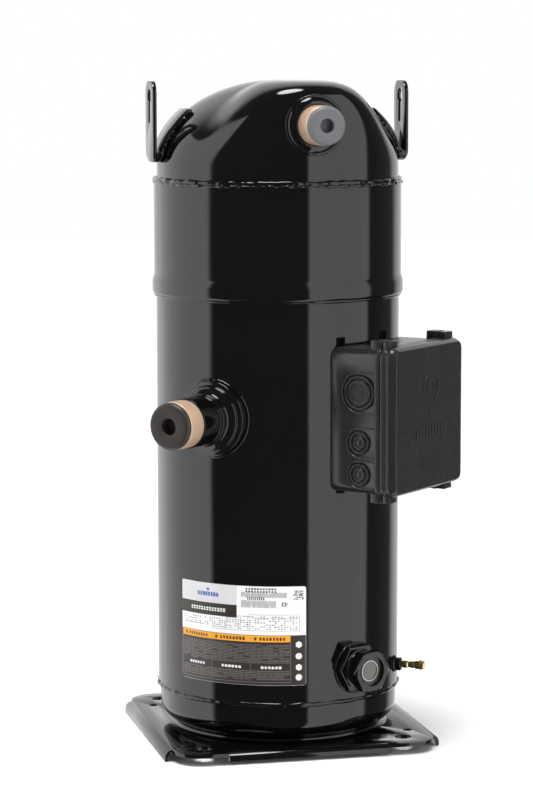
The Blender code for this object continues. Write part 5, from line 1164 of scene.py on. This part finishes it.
def make_label(shell, label):
    """The film and its blank print: panels, bars and lines, with no lettering."""
    thick, layer, rule = 0.0003, 0.00004, 0.00003    # of the film, of a coat of ink and of a ruled line
    face = shell.radius + GAP + thick
    make_film(shell, label, face, thick)
    first, last, low, top = label.first, label.last, label.bottom, label.top
    split, column_end, panel_end = low + 0.0498, -7.7, -32.7
    strip = face + layer
    inks = {"silver": (0.68, 0.68, 0.70), "olive": (0.030, 0.026, 0.016), "umber": (0.036, 0.027, 0.024),
            "amber": tuple(colours().strip), "grey": (0.17, 0.155, 0.15), "dark": (0.05, 0.05, 0.055),
            "pale": (0.80, 0.80, 0.80), "blue": (0.10, 0.15, 0.42), "brown": (0.13, 0.035, 0.008)}
    groups = {name: [] for name in inks}
    groups["silver"].append(wrapped(face, first + 0.05, panel_end, top - 0.0193, top - 0.0001))
    groups["olive"].append(wrapped(face, first + 0.05, panel_end, top - 0.0316, top - 0.0193, 0.00005))
    groups["umber"].append(wrapped(face, first + 0.1, last - 0.1, low + 0.0002, split))
    groups["amber"].append(wrapped(strip, first + 0.6, column_end, split - 0.0068, split - 0.0004))

    def line(tone, left, right, bottom, height):
        groups[tone].append(wrapped(strip, left, right, bottom, height, rule))

    def rows(tone, radius, *layout):
        groups[tone].append(print_rows(radius, *layout))

    # the three columns of the lower panel
    edges = (first + 0.8, -45.6, -26.3, column_end)
    above = strip + layer
    for index, (left, right) in enumerate(zip(edges, edges[1:])):
        wide = right - left
        rows("grey", strip, left + 1.6, right - 1.6, low + 0.0225, split - 0.0098, 7, 13, 1.0, 0.42, 0.08,
             3 + index)
        rows("grey", strip, left + 1.6, right - 1.6, low + 0.0060, low + 0.0140, 7, 6, 1.0, 0.42, 0.10,
             13 + index)
        rows("pale", strip, left + wide * 0.30, right - wide * 0.26, low + 0.0172, low + 0.0182, 6, 2, 0.72,
             1.5, 0.0, 23 + index)
        rows("brown", above, left + wide * 0.26, right - wide * 0.16, split - 0.0044, split - 0.0030, 8, 2,
             0.66, 1.2, 0.0, 33 + index)
        groups["brown"].append(wrapped(above, left + wide * 0.10, left + wide * 0.16, split - 0.0052,
                                       split - 0.0022, rule))
        line("grey", right - 0.12, right + 0.12, low + 0.0030, split - 0.0068)
    line("grey", first + 0.7, first + 0.95, low + 0.0030, split - 0.0004)
    line("grey", first + 0.7, column_end, low + 0.0028, low + 0.0034)
    for index, height in enumerate((0.0405, 0.0290, 0.0180, 0.0080)):
        outline = ring(0.0032, 20) if index % 2 else ring(0.0034, 6, (0.0, 0.0), 30.0)
        spot = radial(-3.9, low + height) @ Matrix.Translation((0.0, 0.0, strip))
        groups["pale"].append(prism("mark", outline, 0.0, layer, spot))
    # the print of the upper panel: azimuths, depths below the top, columns, rows, fills, blank share, seed
    for left, right, under, over, *layout in (
            (-28.0, -14.6, 0.0052, 0.0026, 11, 2, 0.66, 0.7, 0.0, 41),
            (-30.4, -9.6, 0.0094, 0.0076, 52, 2, 0.46, 1.9, 0.05, 42),
            (-27.4, -20.0, 0.0128, 0.0114, 9, 2, 0.66, 0.9, 0.0, 43),
            (-30.4, -14.6, 0.0188, 0.0162, 40, 2, 0.46, 1.7, 0.05, 44),
            (-6.2, -1.9, 0.0126, 0.0044, 13, 11, 0.95, 0.95, 0.42, 45),
            (-11.4, -9.2, 0.0190, 0.0160, 4, 4, 0.9, 0.9, 0.4, 46),
            (-44.0, -5.0, 0.0420, 0.0300, 30, 7, 0.62, 0.34, 0.36, 47),
            (-61.5, -46.5, 0.0410, 0.0345, 12, 4, 0.62, 0.34, 0.40, 48)):
        rows("dark", face, left, right, top - under, top - over, *layout)
    for left, depth in ((-27.4, 0.0282), (-27.4, 0.0312), (-45.2, 0.0440)):
        groups["dark"].append(wrapped(face, left, -3.6, top - depth, top - depth + 0.00022, rule))
    for azimuth in (-45.2, -38.0, -31.0, -27.4, -15.0, -3.6):
        groups["dark"].append(wrapped(face, azimuth, azimuth + 0.12, top - 0.0440, top - 0.0290, rule))
    rows("blue", face + 0.00004, -53.0, -42.6, top - 0.0116, top - 0.0098, 8, 2, 0.8, 1.3, 0.0, 51)
    spot = radial(-47.6, top - 0.0060) @ Matrix.Translation((0.0, 0.0, face))
    groups["blue"].append(prism("mark", ring(0.0016, 16), 0.0, 0.00005, spot))
    rows("pale", face + 0.00005, -57.0, -39.0, top - 0.0265, top - 0.0245, 13, 2, 0.74, 0.8, 0.0, 52)
    for name, meshes in groups.items():
        place_piece(f"label_{name}", joined(name, meshes), ink(name, inks[name]), "casing", "label_film")


# ---- inner parts ------------------------------------------------------------------------
def make_relief_spring():
    """The coil behind the relief valve's poppet, wound once at its full length; the real spring shortens as
    the poppet lifts.
    """
    wire, turns, steps = 0.0006, 5, 24
    low, high = (Vector(corner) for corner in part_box("relief_spring"))
    centre = (low + high) / 2.0
    radius = (high.x - low.x) / 2.0 - wire
    rise = high.z - low.z - 2.0 * wire
    points = [(centre.x + x, centre.y + y, low.z + wire + rise * (index + lap * steps) / (turns * steps))
              for lap in range(turns) for index, (x, y) in enumerate(ring(radius, steps))]
    steel = surface("spring_steel", (0.46, 0.47, 0.48), 0.3, 1.0, 0.15, 60.0, 1500.0, 0.000005)
    coil = grown("coil", path_mesh(points, False), bead_tree(),
                 {"Bead radius": wire, "Step": wire, "Ripple": 0.0, "Finish": steel})
    spring = place_piece("relief_coil", coil, steel, "casing", "machined_steel", "relief_spring")
    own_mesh(spring)


def finish_inner_parts():
    """Gives every frame node that is still shown its own procedural finish."""
    finishes = {
        "machined_steel": surface("ground_steel", (0.52, 0.53, 0.54), 0.26, 1.0, 0.12, 40.0, 1300.0,
                                  0.000008),
        "cast_iron": surface("machined_iron", (0.17, 0.17, 0.175), 0.5, 1.0, 0.3, 60.0, 900.0, 0.00008),
        "bearing_bronze": surface("bearing_bronze", (0.50, 0.31, 0.15), 0.32, 1.0, 0.2, 70.0, 1200.0,
                                  0.00002),
        "lamination_steel": surface("lamination_steel", (0.25, 0.25, 0.26), 0.42, 1.0, 0.2, 30.0, 700.0,
                                    0.00004, 0.3, (0.05, 0.05, 1.0)),
        "cast_aluminium": surface("cast_aluminium", (0.66, 0.66, 0.67), 0.4, 1.0, 0.15, 50.0, 600.0, 0.00005),
        "enamelled_wire": surface("enamelled_wire", (0.42, 0.16, 0.06), 0.28, 0.6, 0.35, 40.0, 500.0, 0.0002),
        "pressed_steel": surface("pressed_steel", (0.38, 0.38, 0.39), 0.38, 1.0, 0.15, 40.0, 900.0, 0.00002),
        "seal_grey": surface("seal_polymer", (0.20, 0.21, 0.22), 0.45, 0.0, 0.15, 60.0, 1200.0, 0.00002),
        "ferrite": surface("ferrite", (0.07, 0.07, 0.07), 0.6, 0.0, 0.3, 90.0, 1500.0, 0.00005),
        "module_case": surface("potted_module", (0.05, 0.06, 0.09), 0.45, 0.0, 0.2, 60.0, 1600.0, 0.00003),
        "lead_sleeve": surface("lead_sleeve", (0.68, 0.67, 0.62), 0.7, 0.0, 0.15, 80.0, 900.0, 0.00015),
        "brass": turned_brass(),
        "gloss_black_paint": enamel(),
        "black_plastic": moulded(),
    }
    for part in frame["record"]["subparts"]:
        node = frame["nodes"][part["node"]]
        if not node.hide_render:
            node.data.materials.clear()
            node.data.materials.append(finishes[part["material_slot"]])


# ---- stage ------------------------------------------------------------------------------
def make_floor(studio):
    """A pale disc just under the plate."""
    radius, ground = studio.floor_radius, start("base_plate", 2)
    floor = lathe("floor", [(radius, ground - 0.0004), (radius, ground - 0.004)], False, 96)
    floor.materials.append(surface("pale_floor", tuple(studio.floor), 0.6, spread=0.01, patch=3.0,
                                   grain=400.0, depth=0.00001))
    stage = linked("floor", floor)
    stage.visible_glossy = False


def make_studio_light(studio):
    """A white room with tall soft lights at both sides, one overhead and shade between them."""
    world = bpy.data.worlds.new("studio")
    bpy.context.scene.world = world
    world.use_nodes = True
    tree = world.node_tree
    tree.nodes.clear()
    direction = add_node(tree, "ShaderNodeTexCoord").outputs["Generated"]
    way = add_node(tree, "ShaderNodeSeparateXYZ", Vector=direction)
    azimuth = maths(tree, "ARCTAN2", way.outputs[0], maths(tree, "MULTIPLY", way.outputs[1], -1.0))
    turn = maths(tree, "MULTIPLY_ADD", azimuth, 0.5 / math.pi, 0.5)
    ramp = add_node(tree, "ShaderNodeValToRGB", i0=turn)
    soft, shade = studio.soft_light, studio.shade
    brightest = 4.0    # the ramp's colours are shares of it
    stops = ((-180, soft * 0.5), (-162, soft * 0.62), (-156, soft * 0.76), (-120, soft * 0.8),
             (-82, soft * 1.06), (-77, shade), (14, shade), (17, soft * 0.95), (78, soft * 0.76), (82, shade),
             (119, shade * 1.3), (130, soft * 0.5), (180, soft * 0.5))
    band = ramp.color_ramp
    band.elements.remove(band.elements[1])
    for index, (angle, level) in enumerate(stops):
        element = band.elements[0] if index == 0 else band.elements.new((angle + 180.0) / 360.0)
        element.position = (angle + 180.0) / 360.0
        element.color = (*(level / brightest,) * 3, 1.0)
    sides = maths(tree, "MULTIPLY", ramp.outputs[0], brightest)
    back = maths(tree, "MULTIPLY_ADD", way.outputs[1], 0.9, maths(tree, "MULTIPLY", way.outputs[2], 0.3))
    roof = add_node(tree, "ShaderNodeMapRange", {"interpolation_type": "SMOOTHSTEP"}, i0=back, i1=0.58,
                    i2=0.85, i3=shade, i4=soft * 0.6).outputs[0]
    limit = add_node(tree, "ShaderNodeMapRange", i0=way.outputs[0], i1=-0.1, i2=0.1, i3=0.55,
                     i4=0.64).outputs[0]
    above = add_node(tree, "ShaderNodeMapRange", {"interpolation_type": "SMOOTHSTEP"},
                     i0=maths(tree, "SUBTRACT", way.outputs[2], limit), i1=-0.02, i2=0.02, i3=0.0,
                     i4=1.0).outputs[0]
    room = add_node(tree, "ShaderNodeMix", {"data_type": "FLOAT"}, i0=above, i2=sides, i3=roof).outputs[0]
    toward = add_node(tree, "ShaderNodeVectorMath", {"operation": "DOT_PRODUCT"}, i0=direction,
                      i1=Vector((-0.12, -0.10, 1.0)).normalized()).outputs["Value"]
    lamp = add_node(tree, "ShaderNodeMapRange", {"interpolation_type": "SMOOTHSTEP"}, i0=toward, i1=0.968,
                    i2=0.980, i3=0.0, i4=studio.overhead).outputs[0]
    lit = maths(tree, "ADD", room, lamp)
    seen = add_node(tree, "ShaderNodeLightPath").outputs["Is Camera Ray"]
    level = add_node(tree, "ShaderNodeMix", {"data_type": "FLOAT"}, i0=seen, i2=lit, i3=1.0).outputs[0]
    background = add_node(tree, "ShaderNodeBackground", Color=(1.0, 1.0, 1.0, 1.0), Strength=level)
    tree.links.new(background.outputs[0], tree.nodes.new("ShaderNodeOutputWorld").inputs[0])


def make_top_light(studio):
    """A wide soft light above, which lights the floor and the label without showing in the enamel."""
    data = bpy.data.lights.new("top_light", "AREA")
    data.shape = "DISK"
    data.size = 3.0
    data.energy = studio.top_power
    light = bpy.data.objects.new("top_light", data)
    light.location = (-0.3, -0.9, 2.6)
    light.rotation_euler = Vector((0.3, 0.9, -2.3)).to_track_quat("-Z", "Y").to_euler()
    light.visible_glossy = False
    light.visible_camera = False
    bpy.context.scene.collection.objects.link(light)


def make_camera():
    """The camera: a long lens that looks a little down at the front."""
    data = bpy.data.cameras.new("camera")
    data.lens = LENS
    data.sensor_width = SENSOR
    data.clip_end = 100.0
    camera = bpy.data.objects.new("camera", data)
    bpy.context.scene.collection.objects.link(camera)
    yaw, pitch, roll = (math.radians(angle) for angle in CAMERA_TURN)
    forward = Vector((-math.sin(yaw) * math.cos(pitch), math.cos(yaw) * math.cos(pitch), -math.sin(pitch)))
    turn = Matrix.Rotation(roll, 4, forward) @ forward.to_track_quat("-Z", "Y").to_matrix().to_4x4()
    camera.matrix_world = Matrix.Translation(CAMERA_PLACE) @ turn
    bpy.context.scene.camera = camera


# ---- operators --------------------------------------------------------------------------
class BuildShell(bpy.types.Operator):
    """Make the rolled shell, its ring, its bowl and its domed cap"""
    bl_idname = "compressor.shell"
    bl_label = "Shell"

    def execute(self, context):
        make_shell(context.scene.compressor_shell)
        make_cap(context.scene.compressor_shell)
        return {"FINISHED"}


class BuildWelds(bpy.types.Operator):
    """Run rippled weld beads along the seams and round the fittings"""
    bl_idname = "compressor.welds"
    bl_label = "Welds"

    def execute(self, context):
        make_welds(context.scene.compressor_shell, context.scene.compressor_port)
        return {"FINISHED"}


class BuildLugs(bpy.types.Operator):
    """Make the two lifting lugs"""
    bl_idname = "compressor.lugs"
    bl_label = "Lifting lugs"

    def execute(self, context):
        make_lugs(context.scene.compressor_shell)
        return {"FINISHED"}


class BuildPorts(bpy.types.Operator):
    """Make the suction and discharge ports with their stoppers"""
    bl_idname = "compressor.ports"
    bl_label = "Ports"

    def execute(self, context):
        make_suction(context.scene.compressor_shell, context.scene.compressor_port)
        make_discharge(context.scene.compressor_shell, context.scene.compressor_port)
        return {"FINISHED"}


class BuildPlate(bpy.types.Operator):
    """Make the pressed mounting plate"""
    bl_idname = "compressor.plate"
    bl_label = "Mounting plate"

    def execute(self, context):
        make_plate(context.scene.compressor_plate, context.scene.compressor_shell)
        return {"FINISHED"}


class BuildTerminalBox(bpy.types.Operator):
    """Make the terminal box and its cover"""
    bl_idname = "compressor.terminal_box"
    bl_label = "Terminal box"

    def execute(self, context):
        make_box(context.scene.compressor_shell, context.scene.compressor_box)
        make_cover(context.scene.compressor_box)
        return {"FINISHED"}


class BuildFittings(bpy.types.Operator):
    """Make the sight glass and the oil valve"""
    bl_idname = "compressor.fittings"
    bl_label = "Sight glass and oil valve"

    def execute(self, context):
        make_sight_glass(context.scene.compressor_shell)
        make_oil_valve(context.scene.compressor_shell)
        return {"FINISHED"}


class BuildLabel(bpy.types.Operator):
    """Make the label film and its blank print"""
    bl_idname = "compressor.label"
    bl_label = "Label"

    def execute(self, context):
        make_label(context.scene.compressor_shell, context.scene.compressor_label)
        return {"FINISHED"}


class BuildReliefSpring(bpy.types.Operator):
    """Wind the relief valve's spring"""
    bl_idname = "compressor.relief_spring"
    bl_label = "Relief spring"

    def execute(self, context):
        make_relief_spring()
        return {"FINISHED"}


class FinishInnerParts(bpy.types.Operator):
    """Give the scroll set, shaft, motor and valves their finishes"""
    bl_idname = "compressor.inner_finishes"
    bl_label = "Inner finishes"

    def execute(self, context):
        finish_inner_parts()
        return {"FINISHED"}


class BuildStage(bpy.types.Operator):
    """Set up the floor, the studio light and the camera"""
    bl_idname = "compressor.stage"
    bl_label = "Stage"

    def execute(self, context):
        make_floor(context.scene.compressor_studio)
        make_studio_light(context.scene.compressor_studio)
        make_top_light(context.scene.compressor_studio)
        make_camera()
        context.scene.view_settings.view_transform = "Standard"
        return {"FINISHED"}


GROUPS = {"compressor_shell": ShellSizes, "compressor_plate": PlateSizes, "compressor_port": PortSizes,
          "compressor_box": BoxSizes, "compressor_label": LabelSizes, "compressor_finish": FinishColours,
          "compressor_studio": StudioSizes}
OPERATORS = (BuildShell, BuildWelds, BuildLugs, BuildPorts, BuildPlate, BuildTerminalBox, BuildFittings,
             BuildLabel, BuildReliefSpring, FinishInnerParts, BuildStage)


class CompressorPanel(bpy.types.Panel):
    """Lists the sizes, the colours and the steps"""
    bl_idname = "VIEW3D_PT_compressor"
    bl_label = "Compressor"
    bl_space_type = "VIEW_3D"
    bl_region_type = "UI"
    bl_category = "Compressor"

    def draw(self, context):
        for name, group in GROUPS.items():
            box = self.layout.box()
            box.label(text=group.__doc__)
            for key in group.__annotations__:
                box.prop(getattr(context.scene, name), key)
        for operator in OPERATORS:
            self.layout.operator(operator.bl_idname)


def register():
    for made in (*GROUPS.values(), *OPERATORS, CompressorPanel):
        bpy.utils.register_class(made)
    for name, group in GROUPS.items():
        setattr(bpy.types.Scene, name, PointerProperty(type=group))


def unregister():
    for name in GROUPS:
        delattr(bpy.types.Scene, name)
    for made in (CompressorPanel, *reversed(OPERATORS), *reversed(list(GROUPS.values()))):
        bpy.utils.unregister_class(made)


def main():
    """Registers the add-on and makes every piece in order."""
    register()
    steps = bpy.ops.compressor
    steps.shell()
    steps.welds()
    steps.lugs()
    steps.ports()
    steps.plate()
    steps.terminal_box()
    steps.fittings()
    steps.label()
    steps.relief_spring()
    steps.inner_finishes()
    steps.stage()


if __name__ == "__main__":
    main()
